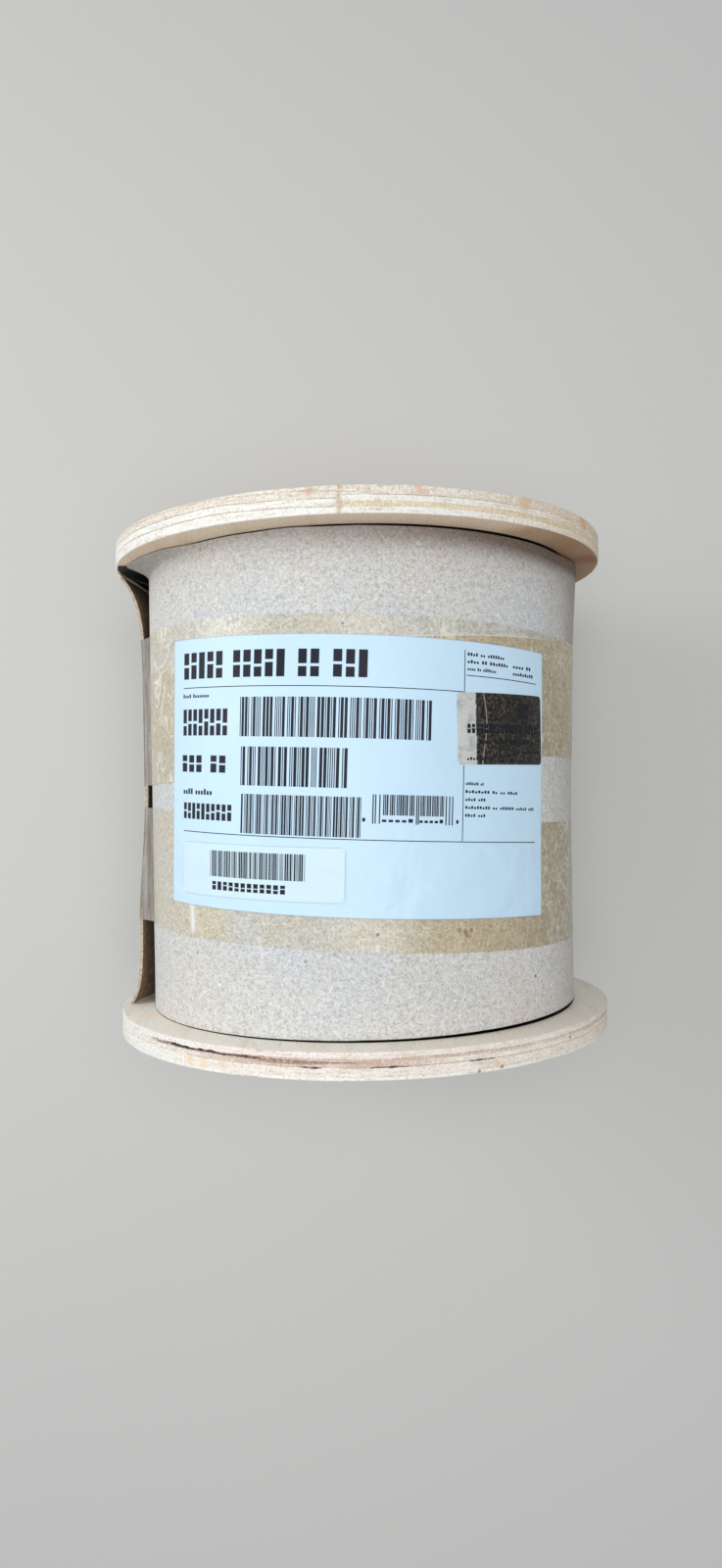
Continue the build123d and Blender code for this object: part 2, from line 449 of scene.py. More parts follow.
class BoardSettings(PropertyGroup):
    board: colour_property("Board", "Grey chipboard", (208, 208, 205))
    fibre: colour_property("Fibre", "Darker fibres in the board", (152, 144, 134))
    fleck: colour_property("Fleck", "White flecks in the board", (236, 237, 236))
    flap_middle: length_property("Flap middle", "Lift of the free edge at mid height", 3.1 * MM)
    flap_top: length_property("Flap top", "Extra lift of the free edge at the top", 10.4 * MM)
    flap_swell: length_property("Flap swell", "Extra lift of the free edge's lower half", 3.0 * MM)
    flap_bottom: length_property("Flap bottom", "Extra lift of the free edge at the bottom", 4.4 * MM)
    side_bulge: length_property("Side bulge", "How far the right side stands off at the top", 4.6 * MM)
    lip: length_property("Lip", "How far the edge is pushed out beside the flap", 7.0 * MM)
    tear_drop: length_property("Tear drop", "How far the torn line on the flap's liner runs down", 3.0 * MM)
    buckle: length_property("Buckle", "Height of the board's shallow waves", 0.12 * MM)


class TapeSettings(PropertyGroup):
    # The wet tint is the wetted board's colour, lightened as a painted sheen; the next one is its painted
    # shade towards the right
    wet: colour_property("Wet board", "Tint of board that the adhesive wets, at the left", (250, 242, 219))
    shaded_wet: colour_property("Aged film", "The same tint at the right, where it is darker", (224, 207, 174))
    dry: colour_property("Dry film", "Tint of film that lies loose on the board", (243, 242, 235))
    air: colour_property("Air line", "Pale lines where air is caught", (247, 244, 234))
    loose: colour_property("Loose film", "Film that crosses the gap beside the flap", (214, 212, 206))


class LabelSettings(PropertyGroup):
    paper: colour_property("Paper", "Cool white label paper", (201, 230, 250))
    sticker: colour_property("Sticker", "Small sticker on the label", (209, 233, 245))
    ink: colour_property("Ink", "Printed marks", (16, 20, 34))
    foil: colour_property("Foil", "Bronze foil seal", (58, 57, 56))
    strip: colour_property("Strip", "Silver strip of the seal", (226, 230, 228))


class HardwareSettings(PropertyGroup):
    zinc: colour_property("Zinc", "Zinc plated steel", (196, 198, 200))
    kraft: colour_property("Kraft", "Paper tube", (172, 138, 100))
    jacket: colour_property("Jacket", "Cable jacket", (112, 114, 118))


class StageSettings(PropertyGroup):
    floor: colour_property("Floor", "Plain pale floor", (208, 208, 206))
    sky: FloatProperty(name="Sky", description="Even light from all round", default=0.42, min=0)
    side: power_property("Side lamp", "Soft lamp low at the left", 4.4)
    front: power_property("Front lamp", "Soft lamp over the drum", 5.0)


def flap_lift(height, board):
    """Lift of the free edge: a low middle, an end that curls up fast at the top and a slower
    swell with a small curl at the bottom, each falling off as an exponential or a cubic step."""
    top_reach, bottom_reach, swell_reach = 11 * MM, 7 * MM, 62 * MM
    top = board.flap_top * np.exp(-(BOARD_HALF_WIDTH - height) / top_reach)
    bottom = board.flap_bottom * np.exp(-(BOARD_HALF_WIDTH + height) / bottom_reach)
    return board.flap_middle + top + bottom + board.flap_swell * smooth(-height / swell_reach)


# Lift of the board's top edge beside the flap, as a share of the whole at angles in degrees
LIP_ANGLES = (-84, -80, -76, -73, -63, -53, -46, -42)
LIP_SHARES = (0.0, 0.22, 0.68, 1.0, 0.72, 0.47, 0.1, 0.0)


def board_radius(angle, height, board):
    """Radius of the board's outer face at an angle counted on from its inner end.

    It is the wound radius plus the climb over the inner end as a cubic step, plus the flap's lift
    by the square of its run, plus shallow waves, a bulge at the right that grows with the cube of
    the height, a lip at the top left by the power 1.3 of the way to the edge, and a small peel of
    the top edge near the middle by the square of that way.
    """
    around = signed(angle)
    climb = LAP_STEP * smooth((angle - CLIMB_START) / (CLIMB_END - CLIMB_START))
    run = np.clip((angle - 360 - INNER_END) / (FREE_EDGE - 360 - INNER_END), 0, None)
    flap = (flap_lift(height, board) - LAP_STEP) * run**2
    buckle = board.buckle * wave(around / 15 + 24, height / (26 * MM) + 8, 3, (24, 32))
    rise = np.clip((height + BOARD_HALF_WIDTH) / (2 * BOARD_HALF_WIDTH), 0, 1)
    bulge = board.side_bulge * bump(around, 84, 26) * rise**3
    lip_edge = np.clip((height - BOARD_HALF_WIDTH + 2.6 * MM) / (2.0 * MM), 0, 1.3)
    lip_share = np.interp(around, LIP_ANGLES, LIP_SHARES) * (angle < CLIMB_START)
    lip = board.lip * lip_share * lip_edge**1.3
    peel_edge = np.clip((height - BOARD_HALF_WIDTH + 1.6 * MM) / (1.6 * MM), 0, 1.2)
    peel = 0.7 * MM * bump(around, -16.5, 8) * peel_edge**2
    return BOARD_RADIUS + climb + flap + buckle + bulge + lip + peel


def board_edges(angle):
    """Heights of the board's two cut edges: a cosine round the drum, closest to the flanges at
    the left, with a little waviness."""
    top_gap = 0.92 * MM - 0.58 * MM * np.cos(np.radians(angle + 70))
    bottom_gap = 0.98 * MM - 0.66 * MM * np.cos(np.radians(angle + 80))
    rag = 0.07 * MM * wave(angle / 4 + 90, 0.5 + 0 * angle, 5, (90, 2))
    return FLANGE_INSIDE - top_gap + rag, -FLANGE_INSIDE + bottom_gap + rag


# Small marks on the board: angle in degrees, height and reach in millimetres, and colour
BOARD_SPOTS = (
    (13.9, 86.2, 1.1, (236, 240, 242)),
    (-3.7, 57.2, 0.7, (84, 78, 80)),
    (3.0, -54.6, 0.8, (96, 82, 70)),
    (45.9, -75.2, 0.8, (78, 72, 70)),
    (-55.0, 77.2, 1.1, (164, 178, 196)),
    (-53.6, 75.2, 1.3, (172, 184, 198)),
    (-52.6, 73.2, 1.0, (164, 178, 196)),
    (-32.0, 60.5, 1.0, (150, 160, 168)),
    (-30.6, 60.8, 1.0, (150, 160, 168)),
    (-29.4, 61.2, 0.9, (150, 160, 168)),
    (-13.5, -64.0, 0.9, (150, 158, 168)),
)


def board_pattern(finish, board):
    """Chipboard's colour with its speckle and fibres: broad cool and warm patches, fine speckle,
    long fibres, white flecks and dark specks."""
    patches = finish.noise(14, 3, 0.6, finish.mapped((1, 0.8, 1)))
    warm = finish.noise(23, 2, 0.5, finish.mapped(shift=(3, 1, 2)))
    speckle = finish.noise(1150, 4, 0.8)
    grit = finish.noise(560, 3, 0.7, finish.mapped(shift=(1, 8, 3)))
    tint = finish.noise(800, 2, 0.6, finish.mapped(shift=(7, 3, 5)))
    fibres = finish.noise(420, 3, 0.65, finish.mapped((1, 0.35, 1), (0.3, 0.2, 0.5)), 0.6)
    base = finish.bands(patches, (
        (0.3, (201, 207, 213)),
        (0.45, board.board),
        (0.58, (212, 210, 206)),
        (0.72, (211, 203, 190)),
    ))
    base = finish.coats(base, (
        (warm, 0.52, 0.75, 0.5, (212, 204, 202)),
        (speckle, 0.5, 0.34, 0.7, board.fibre),
        (speckle, 0.52, 0.66, 0.8, board.fleck),
        (grit, 0.48, 0.34, 0.38, board.fibre),
        (grit, 0.54, 0.68, 0.45, board.fleck),
        (tint, 0.56, 0.7, 0.4, (206, 190, 160)),
        (tint, 0.44, 0.3, 0.3, (190, 204, 220)),
        (fibres, 0.6, 0.76, 0.4, (172, 164, 154)),
    ))
    white = finish.specks(150, 0.12, 0.04, 0.8)
    base = finish.touch(base, white, 0.75, (246, 248, 248))
    dark = finish.specks(95, 0.07, 0.03, 0.86, finish.mapped(shift=(5, 7, 1)), 1)
    base = finish.touch(base, dark, 0.7, (128, 118, 110))
    for angle, height, reach, colour in BOARD_SPOTS:
        base = finish.touch(base, finish.spot(angle, height, reach), 0.8, colour)
    return base, speckle, fibres


def board_finish(board):
    """The board's outer face, with painted shade where its mark is high."""
    finish = Finish("grey_chipboard", roughness=0.86, specular_ior_level=0.3)
    pattern, speckle, fibres = board_pattern(finish, board)
    # Painted shade under the top flange and down the far right side, carried by a mark
    finish.colour(finish.blend(finish.mark("grime"), pattern, (140, 126, 118), "MULTIPLY"))
    finish.relief(speckle, 0.04 * MM, 0.6)
    finish.relief(fibres, 0.06 * MM, 0.6)
    return finish.material


def board_core_finish():
    """The board's cut edges: browner, with fine fuzz and a paler frayed line."""
    finish = Finish("chipboard_core", roughness=0.92, specular_ior_level=0.25)
    fuzz = finish.noise(900, 3, 0.7)
    stops = ((0.3, (160, 142, 122)), (0.52, (198, 184, 166)), (0.75, (222, 212, 198)))
    tone = finish.bands(fuzz, stops)
    finish.colour(finish.blend(finish.mark("frayed"), tone, (238, 226, 212)))
    finish.relief(fuzz, 0.08 * MM)
    return finish.material


def liner_finish():
    """The board's brown inner face, with painted shade inside the flap and a pale torn line."""
    finish = Finish("chipboard_liner", roughness=0.9, specular_ior_level=0.25)
    speckle = finish.noise(520, 3, 0.7)
    stops = ((0.3, (112, 92, 72)), (0.5, (150, 128, 104)), (0.75, (178, 158, 134)))
    # Painted shade inside the flap, carried by the shaded mark
    tone = finish.blend(finish.mark("shaded"), finish.bands(speckle, stops), (26, 19, 15))
    finish.colour(finish.blend(finish.mark("frayed"), tone, (245, 236, 224)))
    finish.relief(speckle, 0.05 * MM)
    return finish.material


# The rims' layers by side, the left stack and then the right one: the end of each layer in
# millimetres from the flange's inner face, and its wood
PLY_STACKS = {
    1: (
        (
            (2.5, "pale"), (2.8, "glue"), (5.3, "pale"), (5.6, "glue"),
            (8.0, "rough"), (8.2, "glue"), (10, "rough"),
        ),
        (
            (2.2, "pale"), (2.4, "tan"), (4.3, "tan"), (4.5, "pale"),
            (6.3, "pale"), (6.6, "glue"), (10, "rough"),
        ),
    ),
    -1: (
        (
            (2.2, "cream"), (2.5, "red"), (5.2, "red"), (5.4, "glue"),
            (8.5, "cream"), (8.7, "beige"), (10, "pale"),
        ),
        (
            (2.0, "cream"), (2.3, "glue"), (3.1, "red"), (3.5, "beige"), (5.0, "cream"),
            (5.3, "glue"), (8.4, "cream"), (8.7, "beige"), (10, "pale"),
        ),
    ),
}

# Stains on the rims by side: angle, distance from the inner face and reach in millimetres, colour
RIM_SPOTS = {
    1: (
        (-9.0, 8.2, 3.0, (206, 168, 138)),
        (12.0, 8.4, 4.0, (226, 186, 156)),
        (36.0, 7.6, 4.5, (214, 180, 140)),
        (58.0, 8.4, 5.0, (208, 174, 130)),
    ),
    -1: (
        (-38.0, 6.6, 3.4, (236, 210, 172)),
        (-34.0, 7.0, 3.6, (238, 214, 180)),
        (-29.5, 6.7, 3.4, (236, 204, 174)),
        (27.3, 8.7, 0.9, (150, 104, 78)),
        (22.2, 9.2, 0.8, (156, 110, 84)),
        (26.5, 7.0, 2.6, (220, 184, 134)),
        (47.0, 3.8, 0.9, (160, 116, 88)),
    ),
}

# Stains on the inner faces by side: angle, then height, reach and radius in millimetres, colour
# and strength
FACE_STAINS = {
    1: (
        (40, 93, 13, 98, (200, 142, 92), 0.5),
        (74, 93, 14, 99, (180, 122, 76), 0.5),
        (-50, 93, 16, 98, (214, 172, 120), 0.15),
        (-66, 93, 14, 98, (214, 172, 120), 0.15),
    ),
    -1: (
        (-67, -93, 10, 91.5, (255, 228, 186), 0.4),
        (-48, -93, 9, 91.5, (250, 228, 192), 0.35),
    ),
}

# How much warmer the rims are towards +X, by side
RIM_WARMTH = {1: 0.62, -1: 0.2}


def ply_stops(stack, woods):
    """Colour stops across the plywood's thickness: two in each layer, a little inside its ends."""
    edge = 0.008
    thickness = FLANGE_THICKNESS / MM
    stops = []
    start = 0.0
    for end, kind in stack:
        stops += [(start + edge, woods[kind]), (end / thickness - edge, woods[kind])]
        start = end / thickness
    return stops


def plywood_edge_finish(name, side, wood):
    """The cut edge of the plywood: its layers by the distance from the flange's inner face.

    The two stacks of layers meet where the beyond mark steps from 0 to 1, and both fade into the
    pale wood where the core mark is low. Long fibres, fine speckle, a warmer tone towards +X,
    where the grain is cut across, torn and bruised places and stains lie over them.
    """
    finish = Finish(name, roughness=0.85, specular_ior_level=0.25)
    woods = {
        "pale": wood.pale_ply, "rough": wood.rough_ply, "red": wood.red_ply, "glue": wood.glue,
        "beige": (226, 214, 190), "tan": (224, 208, 174), "cream": (240, 231, 222),
    }
    x, y = finish.axes()[:2]
    depth = finish.maths("MULTIPLY_ADD", y, side / FLANGE_THICKNESS, -FLANGE_INSIDE / FLANGE_THICKNESS)
    depth = finish.maths("ADD", depth, finish.mark("shift"))
    depth = finish.stray(depth, finish.noise(60, 2, 0.5), 0.07)
    left, right = (finish.bands(depth, ply_stops(stack, woods)) for stack in PLY_STACKS[side])
    tone = finish.blend(finish.mark("beyond"), left, right)
    fade = finish.noise(38, 3, 0.6, finish.mapped((1, 3, 1), shift=(2, 0, 1)))
    core = finish.times(finish.mark("core"), finish.spread(fade, 0.25, 0.5, 0.35, 1))
    tone = finish.blend(core, wood.pale_ply, tone)
    warm_side = finish.spread(x, 25 * MM, 98 * MM, 0, RIM_WARMTH[side])
    warm_side = finish.times(warm_side, finish.spread(fade, 0.75, 0.4, 0.5, 1))
    tone = finish.blend(warm_side, tone, (208, 184, 142))
    fibres = finish.noise(1.0, 4, 0.7, finish.mapped((110, 1000, 110)))
    speckle = finish.noise(1150, 4, 0.8)
    tone = finish.coats(tone, (
        (fibres, 0.5, 0.7, 0.6, (192, 174, 150)),
        (fibres, 0.46, 0.3, 0.6, (253, 252, 249)),
        (speckle, 0.48, 0.34, 0.6, (184, 160, 134)),
        (speckle, 0.53, 0.66, 0.75, (254, 253, 251)),
    ))
    torn = finish.noise(760, 4, 0.75, finish.mapped((1, 1.6, 1)))
    marked = (
        ("rough", finish.spread(torn, 0.48, 0.62, 0, 0.55), (202, 172, 144)),
        ("rough", finish.spread(torn, 0.46, 0.34, 0, 0.6), (252, 246, 238)),
        ("bruised", finish.spread(torn, 0.34, 0.56, 0.35, 1), (126, 90, 78)),
        ("seam", finish.spread(torn, 0.35, 0.6, 0.15, 0.8), (190, 160, 126)),
    )
    for mark, share, colour in marked:
        tone = finish.touch(tone, share, finish.mark(mark), colour)
    for angle, from_inside, reach, colour in RIM_SPOTS[side]:
        place = side * (FLANGE_INSIDE / MM + from_inside)
        full = 0.5 if reach < 1 else 0.0
        share = finish.spot(angle, place, reach, FLANGE_RADIUS, 0.8, full)
        tone = finish.touch(tone, share, 0.8, colour)
    # Painted shade: the splits are coloured dark inside
    finish.colour(finish.blend(finish.mark("split"), tone, (78, 60, 52)))
    finish.relief(fibres, 0.14 * MM, 0.8)
    finish.relief(speckle, 0.10 * MM, 0.8)
    return finish.material


def flap_shade(finish, x, z, radius):
    """Painted shade, 1 on the top flange's inner face where the flap covers it: from straight left down to
    where the flap leaves the winding, and out to a radius that shrinks on the way there."""
    flap_reach = finish.spread(z, -48 * MM, 30 * MM, BOARD_RADIUS, BOARD_RADIUS + 13.5 * MM)
    shaded_share = finish.spread(finish.maths("SUBTRACT", radius, flap_reach), 0.5 * MM, -0.5 * MM)
    left = finish.spread(x, -55 * MM, -62 * MM)
    above = finish.spread(z, 31 * MM, 28 * MM)
    return finish.times(shaded_share, finish.times(left, above))


def veneer_finish(name, side, wood):
    """The flat faces: rotary cut veneer with its grain along Z, in streaks and short pores, with a few
    stains. The inner faces get painted shade where the board's edge covers them, and the top one also gets
    painted shade under the flap and a browner painted shade at the right."""
    finish = Finish(name, roughness=0.66, specular_ior_level=0.3)
    drift = finish.noise(11, 2, 0.5, finish.mapped((1, 1, 0.35)), 0.8)
    streaks = finish.noise(1.0, 4, 0.6, finish.mapped((150, 150, 9)), 0.4)
    rings = finish.noise(1.0, 2, 0.5, finish.mapped((34, 34, 3.5)), 1.2)
    speckle = finish.noise(1150, 4, 0.8, finish.mapped((1, 1, 0.5)))
    pores = finish.noise(1.0, 2, 0.5, finish.mapped((1100, 1100, 60)))
    tone = finish.coats(wood.tan_face if side > 0 else wood.face, (
        (streaks, 0.5, 0.78, 0.3, wood.streak),
        (rings, 0.52, 0.75, 0.2, (220, 192, 156)),
        (drift, 0.48, 0.7, 0.3, (228, 198, 168)),
        (drift, 0.42, 0.25, 0.25, (216, 212, 194)),
        (speckle, 0.47, 0.34, 0.5, (172, 142, 108)),
        (speckle, 0.54, 0.67, 0.45, (250, 244, 234)),
        (pores, 0.66, 0.76, 0.4, (156, 128, 98)),
    ))
    for angle, height, reach, radius, colour, strength in FACE_STAINS[side]:
        share = finish.spot(angle, height, reach, radius * MM, 0.5, 0.0)
        tone = finish.touch(tone, share, strength, colour)
    x, y, z = finish.axes()
    squares = finish.maths("ADD", finish.maths("POWER", x, 2.0), finish.maths("POWER", z, 2.0))
    radius = finish.maths("SQRT", squares)
    inner_face = finish.maths("LESS_THAN", finish.maths("ABSOLUTE", y), FLANGE_INSIDE + 2 * MM)
    # Painted shade in the gap, where the board's edge covers the inner faces
    shaded_share = finish.spread(radius, BOARD_RADIUS + 0.1 * MM, BOARD_RADIUS - 0.5 * MM)
    if side > 0:
        # Painted shade: the top inner face is browner towards the right
        right_shade = finish.times(finish.spread(x, 50 * MM, 82 * MM, 0, 0.95), inner_face)
        tone = finish.blend(right_shade, tone, (184, 157, 138), "MULTIPLY")
        shaded_share = finish.larger(shaded_share, flap_shade(finish, x, z, radius))
    finish.colour(finish.touch(tone, shaded_share, inner_face, (22, 17, 14)))
    finish.relief(streaks, 0.05 * MM, 0.7)
    finish.relief(speckle, 0.04 * MM, 0.6)
    return finish.material


# Splits in the bottom rim: middle and reach in degrees, then the distance from the inner face
# and half the width in millimetres
SPLITS = (
    (-46.0, 7, 2.4, 0.16),
    (-37.0, 8, 2.75, 0.42),
    (-26.0, 6, 3.0, 0.16),
    (-10.5, 3, 5.35, 0.2),
    (4.3, 4, 5.4, 0.24),
    (23, 4, 5.3, 0.12),
    (140, 15, 5.2, 0.3),
    (-155, 9, 2.6, 0.3),
)

# Distances of the grooves between layers from the flange's inner face in millimetres, by side
JOINTS = {1: (2.6, 5.4, 6.5), -1: (2.4, 5.5, 8.6)}

# Where the veneers meet on the top rim, in degrees
SEAM_ANGLE = -3.4


def rim_relief(angle, depth, side, wood):
    """How far the rim is cut in at an angle and a distance from the flange's inner face.

    It adds shallow saw waves, a narrow round groove at each joint between layers and torn fibres
    in the rough layers. The top rim has a groove where its veneers meet, and the bottom rim has
    the splits: wandering grooves that narrow to both ends. The second value is 1 in the splits.
    """
    around = signed(angle)
    relief = 0.03 * MM * (1 + wave(angle / 2, depth / (2.5 * MM), 11 + side, (180, 16)))
    for number, joint in enumerate(JOINTS[side]):
        line = joint * MM + 0.16 * MM * wave(angle / 9, 0 * angle + number, 20 + side, (40, 8))
        open_share = 0.45 + 0.55 * wave(angle / 5, 0 * angle + number, 30 + side, (72, 8))
        relief = relief + wood.joint_depth * np.clip(open_share, 0.1, 1) * bump(depth, line, 0.28 * MM)
    rough_low = JOINTS[side][2 if side > 0 else 0] * MM
    rough_high = FLANGE_THICKNESS if side > 0 else JOINTS[side][1] * MM
    rough = smooth((depth - rough_low) / (0.3 * MM)) * smooth((rough_high - depth) / (0.3 * MM))
    torn = np.abs(wave(angle * 1.5, depth / (0.9 * MM), 41 + side, (540, 16)))
    relief = relief + wood.tear_depth * rough * torn
    split = np.zeros_like(relief)
    if side > 0:
        seam = bump(around, SEAM_ANGLE, 0.6) * (0.4 + 0.6 * bump(depth, 6 * MM, 4 * MM))
        return relief + 0.25 * MM * seam, split
    uneven = 1 + 0.8 * wave(angle, 0 * angle, 51, (360, 4))
    wander = 0.2 * MM * wave(angle / 3, 0 * angle, 50, (120, 4))
    wander = wander + 0.12 * MM * wave(angle * 1.5, 0 * angle, 52, (540, 4))
    for middle, reach, line, half in SPLITS:
        narrowing = np.sqrt(bump(around, middle, reach))
        mouth = (half * MM * narrowing + 1e-9) * uneven
        here = bump(depth, line * MM + wander, mouth * 1.5) * (mouth > 0.05 * MM)
        relief = relief + wood.crack_depth * here * narrowing
        split = np.maximum(split, smooth(here * 2.2))
    return relief, split


def rim_marks(around, depth, side):
    """The rim's marks: how strongly the layers show, how torn and bruised the wood is, how far
    the layers are shifted, which of the two stacks shows, and the seam.

    On the top rim the veneers meet at the seam. On the bottom rim the core shows most over the
    split and fades to both sides, and it is bruised in a band that is widest at the split's end.
    """
    slow = wave(around / 24 + 15, 0 * around, 62 + side, (15, 2))
    shift = 0.012 * wave(around / 10 + 36, 0 * around, 66 + side, (36, 2))
    if side > 0:
        core = 0.92 + 0.08 * slow
        rough = 0.3 + 0.7 * inside(depth, 6.6 * MM, 11 * MM, 0.4 * MM) + 0.4 * inside(around, 25, 100, 20)
        bruised = 0.0
        shift = shift - 0.1 * inside(around, -160, -17, 25)
        beyond = inside(around, SEAM_ANGLE, 140, 0.8)
        seam = bump(around, SEAM_ANGLE, 0.8)
    else:
        core = 0.16 + 0.84 * inside(around, -36, 12, 24) + 0.18 * slow
        core = core + 0.6 * inside(around, 10, 90, 24)
        core = core + 0.5 * inside(around, 110, 330, 30) * (0.5 + slow)
        rough = 0.35 + 0.65 * inside(depth, 2.2 * MM, 5.4 * MM, 0.4 * MM) * inside(around, -55, -8, 10)
        width = 0.45 * MM + 0.95 * MM * bump(around, -18, 13)
        line = 3.0 * MM + 0.6 * MM * inside(around, -20, 10, 12)
        bruised = 0.9 * bump(depth, line, width) * inside(around, -50, -1, 5)
        beyond = inside(around, 10, 140, 18)
        seam = 0.0
    marks = {
        "core": np.clip(core, 0, 1), "rough": np.clip(rough, 0, 1), "bruised": bruised,
        "shift": shift, "beyond": beyond, "seam": seam,
    }
    whole = np.zeros(np.broadcast(around, depth).shape)
    return {name: values + whole for name, values in marks.items()}


# The flange's mesh: columns round it, columns from a bolt hole's middle to the side of its cell,
# steps along that side, and the rounding of its rim and of its arbor hole
FLANGE_COLUMNS = 720
HALF_CELL = 45
CELL_STEPS = 12
RIM_ROUNDING = 0.55 * MM
HOLE_ROUNDING = 0.25 * MM
CELL_RADII = np.linspace(
    ARBOR_RADIUS + HOLE_ROUNDING, 2 * BOLT_CIRCLE_RADIUS - ARBOR_RADIUS - HOLE_ROUNDING, CELL_STEPS + 1
)


def add_rim(skin, angle, side, wood):
    """Adds the rim: a circle less its worn round corners and its relief. Gives back its radii."""
    corner = RIM_ROUNDING * (1 - np.cos(np.linspace(0, np.pi / 2, 5)))
    straight = np.linspace(RIM_ROUNDING, FLANGE_THICKNESS - RIM_ROUNDING, 44)[1:-1]
    depth = np.concatenate([corner, straight, FLANGE_THICKNESS - corner[::-1]])[:, None]
    from_edge = np.minimum(depth, FLANGE_THICKNESS - depth)
    into_corner = np.clip(1 - from_edge / RIM_ROUNDING, 0, 1)
    wear = 1 + 0.35 * wave(angle / 6, 0 * angle, 60 + side, (60, 4))
    rounding = RIM_ROUNDING * wear * (1 - np.sqrt(1 - into_corner**2))
    relief, split = rim_relief(angle, depth, side, wood)
    radius = FLANGE_RADIUS - rounding - relief
    rim = polar(radius, angle, side * (FLANGE_INSIDE + depth))
    skin.add(rim, around=True, slot=1, split=split, **rim_marks(signed(angle), depth, side))
    return radius


def add_bolt_cell(skin, bolt_angle, side, outside):
    """Adds the cell of a flat face round a bolt hole: rings that blend from the hole's circle to
    the cell's outline. On the outside it adds the recess too: its wall, its floor and the hole
    below, as circles carried along the axis."""
    level = side * (FLANGE_INSIDE + FLANGE_THICKNESS * outside)
    span = bolt_angle + np.arange(-HALF_CELL, HALF_CELL + 1) * 360 / FLANGE_COLUMNS
    arc, side_run = 2 * HALF_CELL, CELL_STEPS
    outline_radius = np.concatenate([
        np.full(arc, CELL_RADII[-1]), CELL_RADII[:0:-1], np.full(arc, CELL_RADII[0]), CELL_RADII[:-1]
    ])
    outline_angle = np.concatenate([
        span[:-1], np.full(side_run, span[-1]), span[:0:-1], np.full(side_run, span[0])
    ])
    outline = polar(outline_radius, outline_angle, level)
    centre = polar(BOLT_CIRCLE_RADIUS, bolt_angle, level)
    away = outline - centre
    bearing = np.degrees(np.arctan2(away[:, 0], away[:, 2]))
    mouth = centre + polar(RECESS_RADIUS if outside else BOLT_HOLE_RADIUS, bearing, 0.0)
    share = np.linspace(0, 1, 6)[:, None, None]
    skin.add(mouth * (1 - share) + outline * share, around=True, flip=outside)
    if not outside:
        return
    axis = polar(BOLT_CIRCLE_RADIUS, bolt_angle, 0.0)
    floor = side * (FLANGE_INSIDE + FLANGE_THICKNESS - RECESS_DEPTH)
    walls = (
        (RECESS_RADIUS, np.linspace(floor, level, 4)[:, None]),
        (np.linspace(BOLT_HOLE_RADIUS, RECESS_RADIUS, 3)[:, None], floor),
        (BOLT_HOLE_RADIUS, np.linspace(side * FLANGE_INSIDE, floor, 3)[:, None]),
    )
    for radius, height in walls:
        skin.add(axis + polar(radius, bearing, height), around=True, flip=True, slot=1)


def flange_skin(side, wood):
    """A plywood disc as one closed skin.

    Each flat face is rings from the arbor hole to the rim: a cell round each bolt hole, plain
    rings between the cells, and one plain band from them out to the rim. The arbor hole is
    circles carried along the axis, a little wider at both ends.
    """
    skin = Skin(mirrored=side < 0)
    angle = (np.arange(FLANGE_COLUMNS) * 360 / FLANGE_COLUMNS)[None, :]
    rim_radius = add_rim(skin, angle, side, wood)

    bore_depth = np.array([0, HOLE_ROUNDING, FLANGE_THICKNESS - HOLE_ROUNDING, FLANGE_THICKNESS])
    bore_radius = ARBOR_RADIUS + np.array([HOLE_ROUNDING, 0, 0, HOLE_ROUNDING])
    bore = polar(bore_radius[:, None], angle, side * (FLANGE_INSIDE + bore_depth[:, None]))
    skin.add(bore, around=True, flip=True, slot=1)

    share = np.linspace(0, 1, 8)[:, None]
    plain_columns = FLANGE_COLUMNS // len(BOLT_ANGLES) - 2 * HALF_CELL + 1
    for outside in (False, True):
        level = side * (FLANGE_INSIDE + FLANGE_THICKNESS * outside)
        rim_row = rim_radius[-1 if outside else 0]
        band_radius = CELL_RADII[-1] + (rim_row - CELL_RADII[-1]) * share
        skin.add(polar(band_radius, angle, level), around=True, flip=outside)
        for bolt_angle in BOLT_ANGLES:
            first = int(bolt_angle * FLANGE_COLUMNS / 360) + HALF_CELL
            between = (first + np.arange(plain_columns)) % FLANGE_COLUMNS
            skin.add(polar(CELL_RADII[:, None], angle[:, between], level), flip=outside)
            add_bolt_cell(skin, bolt_angle, side, outside)
    return skin


class DRUM_OT_flanges(Operator):
    """Builds the two plywood flanges with their layered rims, holes and recesses"""

    bl_idname = "drum.flanges"
    bl_label = "Plywood flanges"

    def execute(self, context):
        wood = context.scene.drum_plywood
        for side, name in ((1, "top_flange"), (-1, "bottom_flange")):
            veneer = veneer_finish(name + "_veneer", side, wood)
            edge = plywood_edge_finish(name + "_layers", side, wood)
            flange_skin(side, wood).piece(name + "_plywood", (veneer, edge), "plywood", (name,))
        return {"FINISHED"}


def flange_grime(angle, height, top):
    """Painted shade under the top flange: a faint broad part and a strong narrow one, each fading from the
    edge as a cubic step. The narrow part grows towards the right by another cubic step, and the far right
    side gets painted shade over its whole height, most of all above the middle."""
    around = signed(angle)
    broad = 0.16 * smooth((22 * MM - (top - height)) / (16 * MM))
    narrow = smooth((11.5 * MM - (top - height)) / (10.5 * MM))
    growth = 0.26 + 0.74 * smooth((around + 35) / 95) * inside(around, -90, 150, 40)
    far_right = 0.3 * inside(around, 66, 150, 14) * smooth(height / (40 * MM))
    far_right = far_right + 0.14 * inside(around, 56, 150, 20)
    return broad + np.maximum(narrow * growth, far_right)


